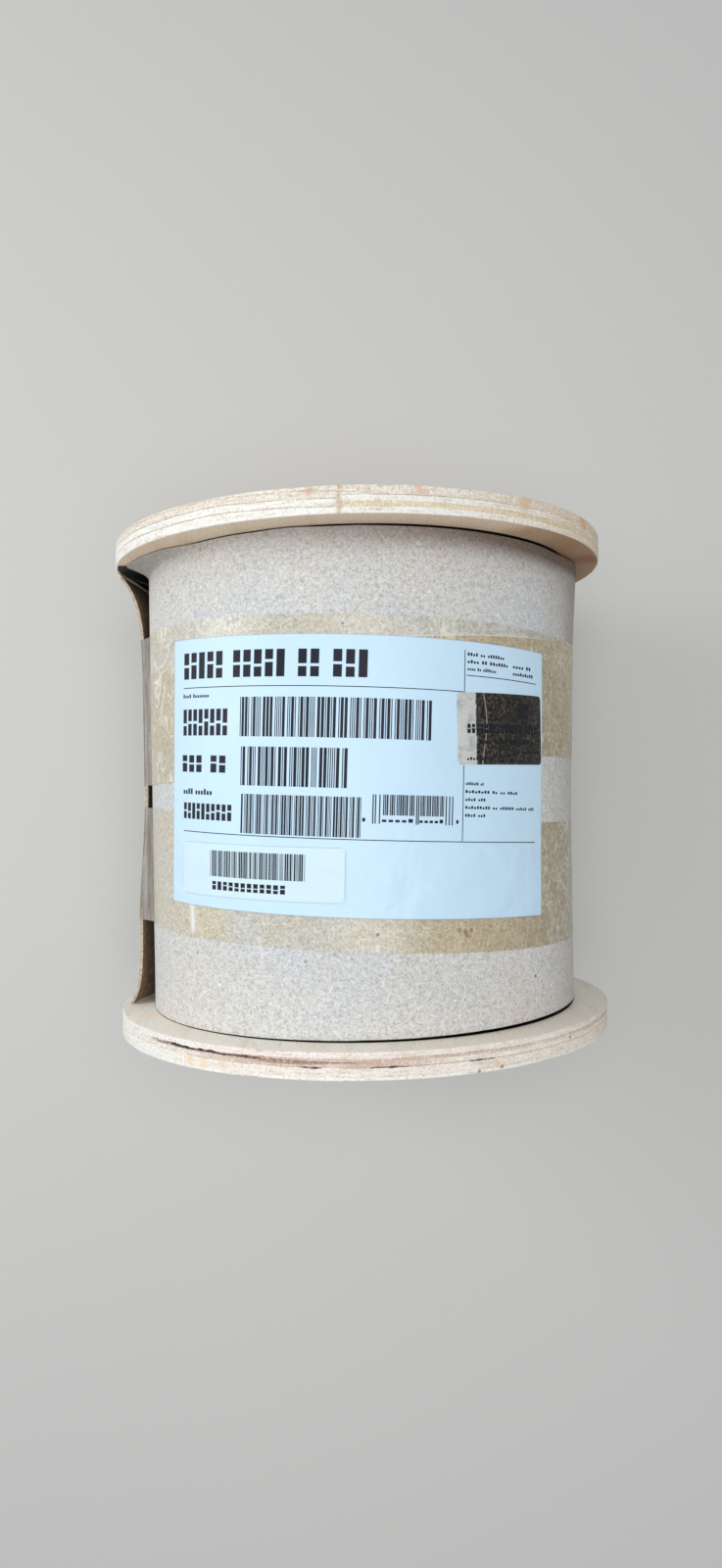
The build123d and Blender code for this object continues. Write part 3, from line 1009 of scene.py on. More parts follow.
def flap_wear_and_shade(angle, height, top, board):
    """How frayed the liner of the flap is, and how much painted shade it gets.

    The torn line starts just under the top edge and drops away from the free edge by the power 1.3 of the
    way. It is frayed in a round hump that widens towards the free edge. Over it the liner is painted in full
    shade, and below it the painted shade fades downwards as a cubic step.
    """
    torn_line = top - 0.3 * MM - board.tear_drop * np.clip((FREE_EDGE - angle) / 11, 0, 2) ** 1.3
    over_line = height - torn_line
    width = 0.7 * MM + 1.0 * MM * smooth((angle - 267) / 9)
    frayed = bump(over_line, 0, width) * inside(angle, 262, 300, 2)
    above = smooth(over_line / (0.4 * MM))
    below = 0.8 * smooth(1 + over_line / (15 * MM))
    return frayed, np.maximum(above, below) * inside(angle, 250, 277.4, 4)


# The sheet's columns step by more degrees where it lies flat than where it climbs and lifts
FLAT_STEP, LIFT_STEP = 1.5, 1.0


class DRUM_OT_wrap(Operator):
    """Builds the chipboard sheet that goes once round the winding and ends in a free flap"""

    bl_idname = "drum.wrap"
    bl_label = "Chipboard wrap"

    def execute(self, context):
        board = context.scene.drum_board
        angle = np.concatenate([
            np.arange(INNER_END, CLIMB_START, FLAT_STEP),
            np.arange(CLIMB_START, FREE_EDGE, LIFT_STEP),
            [FREE_EDGE],
        ])[None, :]
        # Rows lie closer together along both edges, and most of all along the top one
        share = np.concatenate([
            np.linspace(0, 0.05, 6)[:-1], np.linspace(0.05, 0.95, 62)[:-1], np.linspace(0.95, 1, 25)
        ])[:, None]
        top, bottom = board_edges(angle)
        height = bottom + (top - bottom) * share
        radius = board_radius(angle, height, board)
        outer = polar(radius, angle, height)
        inner = polar(radius - BOARD_THICKNESS, angle, height)
        frayed, shaded = flap_wear_and_shade(angle, height, top, board)
        # Painted shade under the top flange and down the far right side
        grime = flange_grime(angle, height, top)
        skin = Skin()
        skin.shell(outer, inner, slots=(0, 2, 1), frayed=frayed, shaded=shaded, grime=grime)
        finishes = (board_finish(board), board_core_finish(), liner_finish())
        skin.piece("chipboard_sheet", finishes, "chipboard", ("chipboard_wrap",), crease=50)
        return {"FINISHED"}


# Small brown stains on the lower tape: angle in degrees, height and reach in millimetres
TAPE_STAINS = ((22.3, -54.4, 1.0), (23.8, -54.9, 1.3), (25.4, -54.6, 0.9), (24.2, -56.4, 1.0))

# Wrinkles in the film at the upper left: angle in degrees, height and radius in millimetres
WRINKLES = ((-61, 66, 19.0), (-63, 64, 15.0), (-66, 51, 9.0), (-74, 62, 9.0), (-76, 35, 8.0))


def wrinkle_arcs(finish, broken):
    """Pale arcs where the film wrinkled: the lower half of a ring round each place, bent and
    broken by noise."""
    bend = finish.noise(70, 2, 0.5, finish.mapped(shift=(0, 3, 1)))
    level = finish.axes()[1]
    arcs = 0.0
    for angle, height, radius in WRINKLES:
        ring = finish.off(finish.stray(finish.away(angle, height), bend, 5 * MM), radius * MM)
        below = finish.spread(level, (height - 0.2 * radius) * MM, (height - 0.8 * radius) * MM)
        arcs = finish.larger(arcs, finish.times(finish.spread(ring, 0.8 * MM, 0.25 * MM), below))
    return finish.times(arcs, finish.maths("MULTIPLY_ADD", broken, 0.35, 0.3))


def tape_finish(tape, board):
    """Film stuck to the board: the board's own pattern, tinted where the adhesive wets it, with
    a gloss of its own.

    The tint is lighter at the left as a painted sheen and darkens to the right and downwards as painted
    shade, and the far right is coarser and its lower part gets more painted shade. Air makes pale lines along
    the middle of a noise where the film is creased, finer hair lines at the far right, arcs at the upper
    left, small bubbles and whatever the air mark says.
    """
    finish = Finish("clear_tape_on_board", specular_ior_level=0.5, coat_weight=0.12, coat_roughness=0.18)
    pattern, speckle = board_pattern(finish, board)[:2]
    cloud = finish.noise(60, 4, 0.65, finish.mapped(shift=(2, 2, 2)))
    fine = finish.noise(620, 4, 0.75)
    wetness = finish.stray(finish.stray(finish.mark("wet"), cloud, 1.1), fine, 1.5)
    x, y = finish.axes()[:2]
    # Painted shade: the wet tint darkens to the right and downwards
    right_shading = finish.times(finish.spread(x, -60 * MM, 82 * MM), finish.spread(y, 60 * MM, 18 * MM, 0.6, 1))
    tint = finish.blend(right_shading, tape.wet, tape.shaded_wet)
    tint = finish.blend(finish.spread(wetness, 0.1, 0.9), tape.dry, tint)
    tint = finish.blend(finish.mark("doubled"), tint, (243, 238, 226), "MULTIPLY")
    tone = finish.blend(1.0, pattern, tint, "MULTIPLY")
    far_right = finish.spread(x, 52 * MM, 80 * MM)
    # Painted shade at the lower far right
    shade = finish.times(far_right, finish.spread(y, 30 * MM, 0.0))
    tone = finish.blend(shade, tone, (234, 241, 247), "MULTIPLY")
    grit = finish.noise(760, 4, 0.8, finish.mapped(shift=(6, 1, 2)))
    tone = finish.coats(tone, (
        (grit, 0.49, 0.34, 0.5, (150, 134, 104)),
        (grit, 0.53, 0.68, 0.4, (244, 236, 216)),
    ))
    coarse = finish.noise(400, 4, 0.8, finish.mapped(shift=(2, 6, 1)))
    tone = finish.touch(tone, finish.spread(coarse, 0.5, 0.36, 0, 0.5), far_right, (120, 106, 84))
    tone = finish.touch(tone, finish.spread(coarse, 0.52, 0.66, 0, 0.5), far_right, (226, 222, 208))
    for angle, height, reach in TAPE_STAINS:
        tone = finish.touch(tone, finish.spot(angle, height, reach), 0.8, (146, 116, 78))
    broken = finish.spread(finish.noise(90, 2, 0.5, finish.mapped(shift=(0, 6, 0))), 0.42, 0.6)
    line = finish.off(finish.noise(75, 2, 0.5, finish.mapped((1, 0.6, 1), shift=(4, 0, 0)), 1.8))
    air = finish.times(finish.spread(line, 0.05, 0.012), finish.mark("creased"))
    hair = finish.off(finish.noise(130, 2, 0.5, finish.mapped((1, 0.7, 1), (0.4, 0.3, 0.2), (2, 5, 1)), 2.2))
    hair = finish.times(finish.spread(hair, 0.035, 0.01, 0, 0.5), far_right)
    air = finish.times(finish.larger(air, hair), broken)
    arcs = wrinkle_arcs(finish, broken)
    bubbles = finish.specks(210, 0.3, 0.1, 0.9, finish.mapped((1, 0.7, 1), shift=(9, 2, 4)))
    tone = finish.touch(tone, air, 0.75, tape.air)
    tone = finish.blend(arcs, tone, (253, 251, 246))
    tone = finish.touch(tone, bubbles, 0.4, tape.air)
    # The air mark holds a pale streak of caught air and a painted highlight along the upper layer's step
    finish.colour(finish.blend(finish.mark("air"), tone, (236, 240, 244)))
    finish.roughness(finish.spread(fine, 0.3, 0.7, 0.28, 0.42))
    finish.relief(speckle, 0.02 * MM, 0.5)
    finish.relief(cloud, 0.08 * MM, 0.4)
    finish.relief(finish.larger(air, arcs), 0.10 * MM, 0.6)
    return finish.material


def loose_film_finish(tape):
    """Film in the air between the flap and the board: see-through, with long pale streaks."""
    finish = Finish("clear_tape_loose", roughness=0.25, alpha=0.42, specular_ior_level=0.5)
    streaks = finish.noise(1.0, 3, 0.6, finish.mapped((420, 40, 420)), 0.8)
    stops = ((0.35, (156, 148, 140)), (0.52, (188, 182, 174)), (0.7, tape.loose))
    finish.colour(finish.bands(streaks, stops))
    finish.relief(streaks, 0.06 * MM, 0.6)
    return finish.material


# Each band: node, height at the middle, width, tilt in degrees and layer over the board
TAPE_BANDS = (
    ("lower_tape", -36.9 * MM, TAPE_WIDTH, -2.8, 0),
    ("upper_tape", 36.6 * MM, TAPE_WIDTH, -2.2, 0),
    ("second_tape", 28.7 * MM, 46 * MM, 3.0, 1),
)

# Over the gap beside the flap: the angle where the film's heights along the axis are taken, the
# angle where the board's radius at its landing is, and how many degrees it crosses. Then the
# band's columns on the board and over the gap
GAP_ANGLE, LANDING_ANGLE = -80.0, -66.0
GAP_SPAN = 6.5
BODY_COLUMNS = 300
GAP_COLUMNS = 8


def film_grids(middle, width, tilt, layer, board):
    """The outer and inner grid of a closed band, with the angle, height and way across of each
    point. Heights follow the tilt by the sine of the angle.

    The band follows the board to the flap's free edge, then sags from there to the board, by the
    power 1.5 of the way that is left, and lands beside the gap. Its rows lie closer together
    along the upper edge, where the upper layer steps down.
    """
    across = np.concatenate([np.linspace(-0.5, 0.47, 40), [0.482, 0.488, 0.494, 0.5]])[:, None] * width
    landing = FREE_EDGE - 360 + GAP_SPAN
    body_angle = landing + (FREE_EDGE - landing) * np.linspace(0, 1, BODY_COLUMNS)[None, :]
    gap_share = np.linspace(0, 1, GAP_COLUMNS + 2)[None, 1:-1]
    angle = np.concatenate([body_angle, FREE_EDGE + GAP_SPAN * gap_share], axis=1)
    rise = math.tan(math.radians(tilt)) * BOARD_RADIUS
    height = middle + across + rise * np.sin(np.radians(angle))
    angle = np.broadcast_to(angle, height.shape)
    edge_height = middle + across + rise * math.sin(math.radians(GAP_ANGLE))
    start = FILM_GAP + layer * (FILM_THICKNESS + FILM_GAP)
    grids = []
    for offset in (start + FILM_THICKNESS, start):
        edge_radius = board_radius(FREE_EDGE, edge_height, board) + offset
        landing_radius = board_radius(LANDING_ANGLE, edge_height, board) + offset
        body_radius = board_radius(body_angle, height[:, :BODY_COLUMNS], board) + offset
        gap_radius = landing_radius + (edge_radius - landing_radius) * (1 - gap_share) ** 1.5
        grids.append(polar(np.concatenate([body_radius, gap_radius], axis=1), angle, height))
    return *grids, angle, height, across / width + 0 * angle


def film_contact(around, height, across, layer):
    """How far the adhesive wets the board, how creased the film is and where air is caught.

    The right side is wetted most and the top middle least. At the lower left a well wetted patch lies between
    a pale streak at its left and a loose patch at its right. The first upper layer is loose along its top
    edge right of the middle. The layer over it has a pale line of painted highlight along its top edge, where
    it steps down to the lower one.
    """
    upper = height > 0
    wet = 0.5 + 0.3 * wave(around / 12 + 30, height / (18 * MM) + 10, 71 + layer, (30, 32))
    wet = wet + 0.6 * inside(around, 14, 200, 40) - 0.15 * bump(around, -8, 22) * upper
    wet = wet + 0.25 * inside(around, -14, 60, 14) * (1 - upper)
    wet = wet - 0.9 * inside(around, 8, 58, 14) * smooth((height - 47 * MM) / (4 * MM)) * (layer == 0)
    low = inside(height, -56.5 * MM, -40 * MM, 2 * MM)
    rag = 1.2 * wave(height / (5 * MM) + 20, 0 * around + layer, 75, (40, 4))
    wet = wet + 0.65 * low * inside(around + rag, -44.4, -34.4, 1.6)
    wet = wet - 0.8 * (height < -44 * MM) * inside(around - rag, -33.6, -25, 3)
    bend = around + 46.4 + 1.1 * np.sin((height + 46 * MM) / (8 * MM)) + 0.4 * rag
    streak = bump(bend, 0, 1.5) * inside(height, -56 * MM, -45 * MM, 3 * MM)
    creased = 0.12 + 0.7 * bump(around, -64, 24) * upper + 0.4 * bump(around, 19, 8) * (height > 50 * MM)
    creased = creased + 0.5 * bump(around, 66, 14) * inside(height, -46 * MM, -12 * MM, 12 * MM)
    # Painted highlight: a pale line along the upper layer's top edge, where it steps down
    step = (layer > 0) * smooth((across - 0.487) / 0.006) * inside(around, -20, 50, 20)
    return {"wet": wet, "creased": creased, "air": np.maximum(0.9 * streak, 0.55 * step)}


class DRUM_OT_tapes(Operator):
    """Builds the three bands of clear tape over the board, the flap and the gap beside it"""

    bl_idname = "drum.tapes"
    bl_label = "Clear tape"

    def execute(self, context):
        board = context.scene.drum_board
        tape = context.scene.drum_tape
        finishes = (tape_finish(tape, board), loose_film_finish(tape))
        for node, middle, width, tilt, layer in TAPE_BANDS:
            outer, inner, angle, height, across = film_grids(middle, width, tilt, layer, board)
            marks = film_contact(signed(angle), height, across, layer)
            doubled = np.full(angle.shape, float(layer))
            slot = np.zeros((angle.shape[0] - 1, angle.shape[1]), int)
            slot[:, BODY_COLUMNS - 1 :] = 1
            skin = Skin()
            skin.shell(outer, inner, True, (slot, slot, 0), doubled=doubled, **marks)
            skin.piece(node + "_film", finishes, "clear_tape", (node,), crease=60)
        return {"FINISHED"}


def paper_finish(name, colour):
    """Smooth paper with faint fibres, a thin grey line of painted shade along its cut border, and shallow
    crumples that are deepest in the label's lower half."""
    finish = Finish(name, roughness=0.52, specular_ior_level=0.4)
    cloud = finish.noise(30, 3, 0.6)
    fibres = finish.noise(700, 3, 0.6)
    finish.colour(finish.coats(colour, (
        (cloud, 0.35, 0.7, 0.22, (191, 223, 246)),
        (fibres, 0.5, 0.75, 0.12, (226, 244, 252)),
        # Painted shade: a thin grey line along the sheet's cut border
        (finish.mark("border"), 0.4 * MM, 0.1 * MM, 0.55, (150, 170, 184)),
    )))
    finish.relief(fibres, 0.012 * MM)
    finish.relief(cloud, 0.25 * MM, 0.5)
    crumple = finish.noise(52, 2, 0.5, finish.mapped(shift=(3, 1, 6)), 0.5)
    crumpled = finish.spread(finish.axes()[1], -8 * MM, -34 * MM, 0.3, 1)
    finish.relief(finish.times(crumple, crumpled), 2.2 * MM, 0.8)
    return finish.material


def ink_finish(label):
    """Dark print, a little worn by a fine grain."""
    finish = Finish("label_ink", roughness=0.55, specular_ior_level=0.3)
    grain = finish.noise(1500, 2, 0.6)
    finish.colour(finish.coats(label.ink, ((grain, 0.45, 0.8, 0.15, (58, 62, 74)),)))
    finish.roughness(finish.spread(grain, 0.3, 0.7, 0.5, 0.65))
    return finish.material


class Sheet(NamedTuple):
    """A sheet on the label: its width and height, its corners' radius, the place of its centre
    and its turn in degrees on the label, its height over the label's seat and its thickness."""

    size: tuple
    corner: float
    centre: tuple
    turn: float
    seat: float
    thickness: float


WHOLE_LABEL = Sheet(LABEL_SIZE, 1.0 * MM, (0.0, 0.0), 0.0, 0.0, LABEL_THICKNESS)
TRIMMED_SIZE = (LABEL_SIZE[0] - RIGHT_TRIM, LABEL_SIZE[1])
TRIMMED_LABEL = WHOLE_LABEL._replace(size=TRIMMED_SIZE, centre=(-RIGHT_TRIM / 2, 0.0))
STICKER = Sheet((72 * MM, 20 * MM), 2.5 * MM, (-38.8 * MM, -36.2 * MM), 0.7, STICKER_SEAT, STICKER_THICKNESS)
SEAL = Sheet((43 * MM, 26.5 * MM), 1.6 * MM, (58.4 * MM, 19.55 * MM), 2.6, STICKER_SEAT, STICKER_THICKNESS)


def turned(right, up, centre, turn):
    """A place, turned about the origin by an angle in degrees and then moved to a centre."""
    cosine, sine = math.cos(math.radians(turn)), math.sin(math.radians(turn))
    return centre[0] + right * cosine - up * sine, centre[1] + right * sine + up * cosine


def on_drum(right, up, sheet, offset, board):
    """Points on the drum of places on a sheet: moved to the sheet's place on the label and from
    there to the label's place on the drum, where the arc is laid round the board. The radius is
    the board's plus the seat, a shallow ripple and an offset."""
    on_label = turned(right, up, sheet.centre, sheet.turn)
    arc, height = turned(*on_label, LABEL_MIDDLE, LABEL_TILT)
    angle = np.degrees(arc / BOARD_RADIUS)
    ripple = 0.10 * MM * (1 + wave(arc / (19 * MM) + 20, height / (24 * MM) + 20, 81))
    radius = board_radius(angle, height, board) + LABEL_SEAT + sheet.seat + ripple + offset
    return polar(radius, angle, height)


def sheet_grid(sheet):
    """Right and up values over a rounded rectangle: its end columns are pulled in by the
    corner's circle, and its end rows lie closer together."""
    width, tall = sheet.size
    corner = sheet.corner
    columns = int(width / (1.5 * MM)) + 1
    rows = int(tall / (2.0 * MM)) + 1
    edge = 0.5 * MM
    right = np.linspace(edge - width / 2, width / 2 - edge, columns)
    right = np.concatenate([[-width / 2], right, [width / 2]])
    ends = tall / 2 - corner * (1 - np.cos(np.linspace(0, np.pi / 2, 6)))[:-1]
    up = np.linspace(-tall / 2 + corner, tall / 2 - corner, rows)
    up = np.concatenate([-ends, up, ends[::-1]])
    from_edge = np.clip(tall / 2 - np.abs(up), 0, corner)
    inset = corner - np.sqrt(np.clip(corner**2 - (corner - from_edge) ** 2, 0, None))
    right, up = np.meshgrid(right, up)
    limit = width / 2 - inset[:, None]
    return np.clip(right, -limit, limit), up


def paper_piece(name, sheet, finish, slot, node, board):
    """A thin sheet over the label's seat, as two grids a thickness apart."""
    width, tall = sheet.size
    right, up = sheet_grid(sheet)
    outer = on_drum(right, up, sheet, sheet.thickness, board)
    inner = on_drum(right, up, sheet, 0.0, board)
    border = np.minimum(width / 2 - np.abs(right), tall / 2 - np.abs(up))
    skin = Skin()
    skin.shell(outer, inner, across=right / width + 0.5, along=up / tall + 0.5, border=border)
    skin.piece(name, (finish,), slot, (node,), crease=60)


def print_piece(name, marks, sheet, finish, slot, board):
    """Printed marks, each a thin raised patch: its rectangle on the sheet is cut into columns
    that follow the paper round the drum."""
    skin = Skin()
    lift = sheet.thickness + INK_LIFT
    for left, right, low, high in np.array(marks) * MM:
        columns = max(2, int((right - left) / (1.6 * MM)) + 2)
        rows = max(2, int((high - low) / (4 * MM)) + 2)
        across, up = np.meshgrid(np.linspace(left, right, columns), np.linspace(low, high, rows))
        outer = on_drum(across, up, sheet, lift + INK_THICKNESS, board)
        skin.shell(outer, on_drum(across, up, sheet, lift, board))
    skin.piece(name, (finish,), slot, crease=60, weld=1e-7)


def barcode(left, right, low, high, signs, seed, thin=1.0):
    """Made-up bars: each sign has five bars, two of them wide, and one wide space of four."""
    random = np.random.default_rng(seed)
    widths = []
    for _ in range(signs):
        bars = np.full(5, thin)
        bars[random.choice(5, 2, replace=False)] = 3.0
        spaces = np.ones(5)
        spaces[random.integers(4)] = 2.6
        widths += list(np.stack([bars, spaces], axis=1).ravel())
    edges = np.concatenate([[0], np.cumsum(widths)])
    edges = left + (right - left) * edges / edges[-2]
    return [(edges[i], edges[i + 1], low, high) for i in range(0, len(widths), 2)]


def word_blocks(left, right, low, high, words, seed):
    """Generic marks in the place of text, from how many signs each word has: a sign is a solid
    block, most of them with a level slit. Small text is words of short dashes."""
    random = np.random.default_rng(seed)
    tall = high - low
    small = tall < 3.2
    signs_in_all = sum(words)
    space = (right - left) / signs_in_all * 0.7
    pitch = (right - left - space * (len(words) - 1)) / signs_in_all
    marks = []
    place = left
    for signs in words:
        for sign in range(signs):
            start = place + sign * pitch
            if small:
                drop = random.choice((0.0, 0.22))
                marks.append((start, start + pitch * 0.68, low + tall * 0.22, high - tall * (0.1 + drop)))
                continue
            end = start + pitch * 0.7
            slit = random.choice((0.0, 0.42, 0.5, 0.58))
            if slit == 0:
                marks.append((start, end, low, high))
                continue
            marks.append((start, end, low, low + tall * (slit - 0.05)))
            marks.append((start, end, low + tall * (slit + 0.05), high))
        place += pitch * signs + space
    return marks


# Marks on the label, the sticker and the seal are in millimetres from the middle of each. Rules
# are given as left, right, low and high. Bars add how many signs they have, their seed and, for
# some, the width of a thin bar. Words add how many signs each word has and their seed. The
# single bars are given by their left edges, and the groups of digits under them by left, right
# and how many digits they have. The seal's square is a row of plain bars.
RULE = 0.32
LABEL_RULES = (
    (-75.4, 39.4, 31.9, 31.9 + RULE),
    (39.5, 39.5 + RULE, 32.0, 47.6),
    (40.4, 76.5, 38.1, 38.1 + RULE),
    (-74.5, 76.6, -22.9, -22.9 + RULE),
    (39.9, 39.9 + RULE, -22.5, 5.2),
)
LABEL_BARS = (
    (-45.0, 26.8, 13.6, 28.1, 13, 1),
    (-44.3, -3.2, -4.4, 9.9, 7, 2),
    (-43.8, 2.1, -22.0, -7.5, 12, 3),
    (9.9, 21.3, -13.7, -6.3, 3, 4, 2.0),
    (23.4, 32.4, -13.7, -6.3, 3, 5, 2.0),
)
SINGLE_BARS = (6.1, 7.0, 8.5, 21.9, 22.6, 33.1, 34.4, 35.6)
SINGLE_BAR_WIDTH, SINGLE_BAR_LOW, SINGLE_BAR_HIGH = 0.45, -16.8, -6.3
DIGIT_GROUPS = ((2.6, 4.2, 1), (9.6, 21.6, 5), (23.2, 32.8, 5), (37.4, 38.8, 1))
DIGITS_LOW, DIGITS_HIGH = -16.6, -14.6
LABEL_WORDS = (
    (-75.1, 4.4, 35.4, 45.4, (5, 5, 2, 3), 5),
    (-75.4, -49.9, 13.9, 23.9, (8,), 6),
    (-75.8, -50.0, 0.0, 6.4, (3, 2), 7),
    (-74.6, -47.3, -17.9, -11.8, (10,), 8),
    (-75.5, -60.0, 27.8, 29.9, (4, 7), 9),
    (-75.0, -57.5, -9.2, -6.0, (4, 6), 10),
    (62.4, 73.2, 42.5, 44.4, (4, 2), 15),
    (62.4, 74.6, 39.8, 41.7, (9,), 16),
)
STICKER_BARS = (-19.2, 21.3, -2.4, 7.3, 13, 31)
STICKER_WORDS = (-18.0, 14.8, -7.4, -4.2, (12,), 32)
SEAL_WORDS = (
    (-17.3, 20.4, -1.7, 1.7, (14, 5), 41),
    (-12.3, 16.9, -6.1, -3.7, (2, 9), 42),
    (9.5, 20.4, -9.6, -7.4, (6,), 43),
    (-17.7, -6.0, -11.9, -10.3, (9,), 44),
)
SQUARE_LEFT, SQUARE_LOW, SQUARE_HIGH = 7.2, 4.1, 9.8
SQUARE_BARS, SQUARE_PITCH, SQUARE_BAR_WIDTH = 7, 0.9, 0.6

# Two columns of small text: their left edges, where the first line stands, how far the lines are
# apart, how tall they are, their first seed, and the right end and words of each line
TEXT_COLUMNS = (
    (40.8, 45.1, 2.7, 1.8, 11, ((58, (4, 2, 7)), (60, (4, 2, 7)), (54, (4, 2, 7)))),
    (
        41.0, -2.3, 2.9, 1.6, 20,
        ((49, (7, 2)), (66, (8, 2, 2, 4)), (50, (4, 3)), (76, (9, 2, 6, 5, 3)), (50, (4, 3))),
    ),
)


def label_marks():
    """Rules, made-up bars and word blocks on the label."""
    marks = list(LABEL_RULES)
    for bars in LABEL_BARS:
        marks += barcode(*bars)
    for left in SINGLE_BARS:
        marks.append((left, left + SINGLE_BAR_WIDTH, SINGLE_BAR_LOW, SINGLE_BAR_HIGH))
    for words in LABEL_WORDS:
        marks += word_blocks(*words)
    for left, right, signs in DIGIT_GROUPS:
        marks += word_blocks(left, right, DIGITS_LOW, DIGITS_HIGH, (signs,), 50 + signs)
    for left, first, apart, tall, seed, lines in TEXT_COLUMNS:
        for number, (end, words) in enumerate(lines):
            low = first - apart * number
            marks += word_blocks(left, end, low, low + tall, words, seed + number)
    return marks


class DRUM_OT_label(Operator):
    """Builds the paper label over the tape, with rules, made-up bars and blocks for words"""

    bl_idname = "drum.label"
    bl_label = "Paper label"

    def execute(self, context):
        board = context.scene.drum_board
        label = context.scene.drum_label
        paper = paper_finish("label_paper", label.paper)
        paper_piece("paper_label", TRIMMED_LABEL, paper, "label_paper", "product_label", board)
        print_piece("label_print", label_marks(), WHOLE_LABEL, ink_finish(label), "label_paper", board)
        return {"FINISHED"}


class DRUM_OT_sticker(Operator):
    """Builds the small sticker on the label with its made-up bars"""

    bl_idname = "drum.sticker"
    bl_label = "Barcode sticker"

    def execute(self, context):
        board = context.scene.drum_board
        label = context.scene.drum_label
        paper = paper_finish("sticker_paper", label.sticker)
        paper_piece("small_sticker", STICKER, paper, "sticker_paper", "barcode_sticker", board)
        marks = barcode(*STICKER_BARS) + word_blocks(*STICKER_WORDS)
        print_piece("sticker_print", marks, STICKER, ink_finish(label), "sticker_paper", board)
        return {"FINISHED"}


def foil_finish(label):
    """Dark bronze foil with a silver strip at its left, fine woven lines and a pale crease.

    The woven lines are a sine up the foil whose phase sways by a sine across it. The crease is a
    thin line that is bowed by a sine of the way down, and the strip ends at a ragged line.
    """
    finish = Finish("bronze_foil", metallic=0.75, specular_ior_level=0.5)
    across, along = finish.mark("across"), finish.mark("along")
    speckle = finish.noise(900, 3, 0.7)
    cloud = finish.noise(60, 3, 0.6)
    patches = finish.noise(120, 3, 0.6, finish.mapped((1, 1.6, 1), shift=(1, 2, 0)))
    sway = finish.times(finish.maths("SINE", finish.times(across, 60.0)), 5.0)
    weave = finish.maths("SINE", finish.maths("MULTIPLY_ADD", along, 190.0, sway))
    bow = finish.maths("SINE", finish.times(finish.maths("SUBTRACT", 1.0, along), 1.25 * math.pi))
    crease = finish.off(finish.maths("MULTIPLY_ADD", bow, -0.03, across), 0.265)
    bronze = finish.coats(label.foil, (
        (speckle, 0.5, 0.64, 0.75, (124, 116, 102)),
        (speckle, 0.49, 0.37, 0.9, (16, 15, 17)),
        (cloud, 0.45, 0.7, 0.5, (44, 43, 44)),
        (weave, 0.6, 1.0, 0.3, (110, 98, 78)),
        (crease, 0.008, 0.002, 0.8, (196, 186, 168)),
    ))
    silver = finish.coats(label.strip, (
        (speckle, 0.4, 0.7, 0.5, (240, 236, 224)),
        (patches, 0.48, 0.36, 0.5, (168, 176, 180)),
        (patches, 0.6, 0.66, 0.8, (250, 250, 246)),
    ))
    ragged = finish.stray(across, finish.noise(260, 3, 0.7), 0.05)
    finish.colour(finish.blend(finish.spread(ragged, 0.192, 0.180), bronze, silver))
    finish.roughness(finish.spread(speckle, 0.3, 0.75, 0.42, 0.6))
    finish.relief(cloud, 0.2 * MM, 0.6)
    finish.relief(speckle, 0.02 * MM, 0.5)
    return finish.material


class DRUM_OT_seal(Operator):
    """Builds the bronze foil seal on the label"""

    bl_idname = "drum.seal"
    bl_label = "Foil seal"

    def execute(self, context):
        board = context.scene.drum_board
        label = context.scene.drum_label
        paper_piece("bronze_seal", SEAL, foil_finish(label), "bronze_foil", "foil_seal", board)
        lefts = [SQUARE_LEFT + SQUARE_PITCH * bar for bar in range(SQUARE_BARS)]
        marks = [(left, left + SQUARE_BAR_WIDTH, SQUARE_LOW, SQUARE_HIGH) for left in lefts]
        for words in SEAL_WORDS:
            marks += word_blocks(*words)
        print_piece("seal_print", marks, SEAL, ink_finish(label), "bronze_foil", board)
        return {"FINISHED"}


def zinc_finish(hardware):
    """Plated steel with dull clouds and fine scratches across the axis."""
    finish = Finish("zinc_plate", metallic=0.95, specular_ior_level=0.5)
    cloud = finish.noise(140, 3, 0.6)
    scratch = finish.noise(1.0, 3, 0.6, finish.mapped((2200, 240, 2200)))
    finish.colour(finish.coats(hardware.zinc, ((cloud, 0.4, 0.7, 0.4, (160, 160, 156)),)))
    finish.roughness(finish.spread(scratch, 0.3, 0.7, 0.26, 0.46))
    finish.relief(scratch, 0.01 * MM)
    return finish.material


def kraft_finish(hardware):
    """Brown paper with darker fibres and broad paler patches."""
    finish = Finish("kraft_tube", roughness=0.85, specular_ior_level=0.3)
    fibres = finish.noise(1.0, 4, 0.6, finish.mapped((300, 120, 300)))
    patches = finish.noise(1.0, 1, 0.5, finish.mapped((6, 20, 6)))
    finish.colour(finish.coats(hardware.kraft, (
        (fibres, 0.4, 0.75, 0.5, (142, 108, 74)),
        (patches, 0.5, 0.7, 0.3, (188, 158, 122)),
    )))
    finish.relief(fibres, 0.05 * MM)
    return finish.material


CABLE_PITCH = 5.2 * MM


def jacket_finish(hardware):
    """Cable jacket: its turns are round ridges along the axis, the size of a sine, one cable apart, with
    painted shade in the grooves between them and pale dust."""
    finish = Finish("cable_jacket", roughness=0.45, specular_ior_level=0.45)
    along = finish.times(finish.axes()[1], math.pi / CABLE_PITCH)
    ridge = finish.maths("ABSOLUTE", finish.maths("SINE", along))
    dust = finish.noise(80, 3, 0.6)
    finish.colour(finish.coats(hardware.jacket, (
        # Painted shade in the grooves between the turns
        (ridge, 0.35, 0.0, 0.7, (70, 72, 74)),
        (dust, 0.5, 0.8, 0.3, (176, 176, 172)),
    )))
    finish.relief(ridge, 1.2 * MM)
    return finish.material


class DRUM_OT_core(Operator):
    """Finishes the winding, the barrel and the bolts, which keep the frame's own shapes"""

    bl_idname = "drum.core"
    bl_label = "Core and bolts"

    def execute(self, context):
        hardware = context.scene.drum_hardware
        zinc = zinc_finish(hardware)
        others = {"cable_winding": jacket_finish(hardware), "barrel_tube": kraft_finish(hardware)}
        for name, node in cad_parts.items():
            if node.hide_render:
                continue
            node.data.materials.clear()
            node.data.materials.append(others.get(name, zinc))
        return {"FINISHED"}


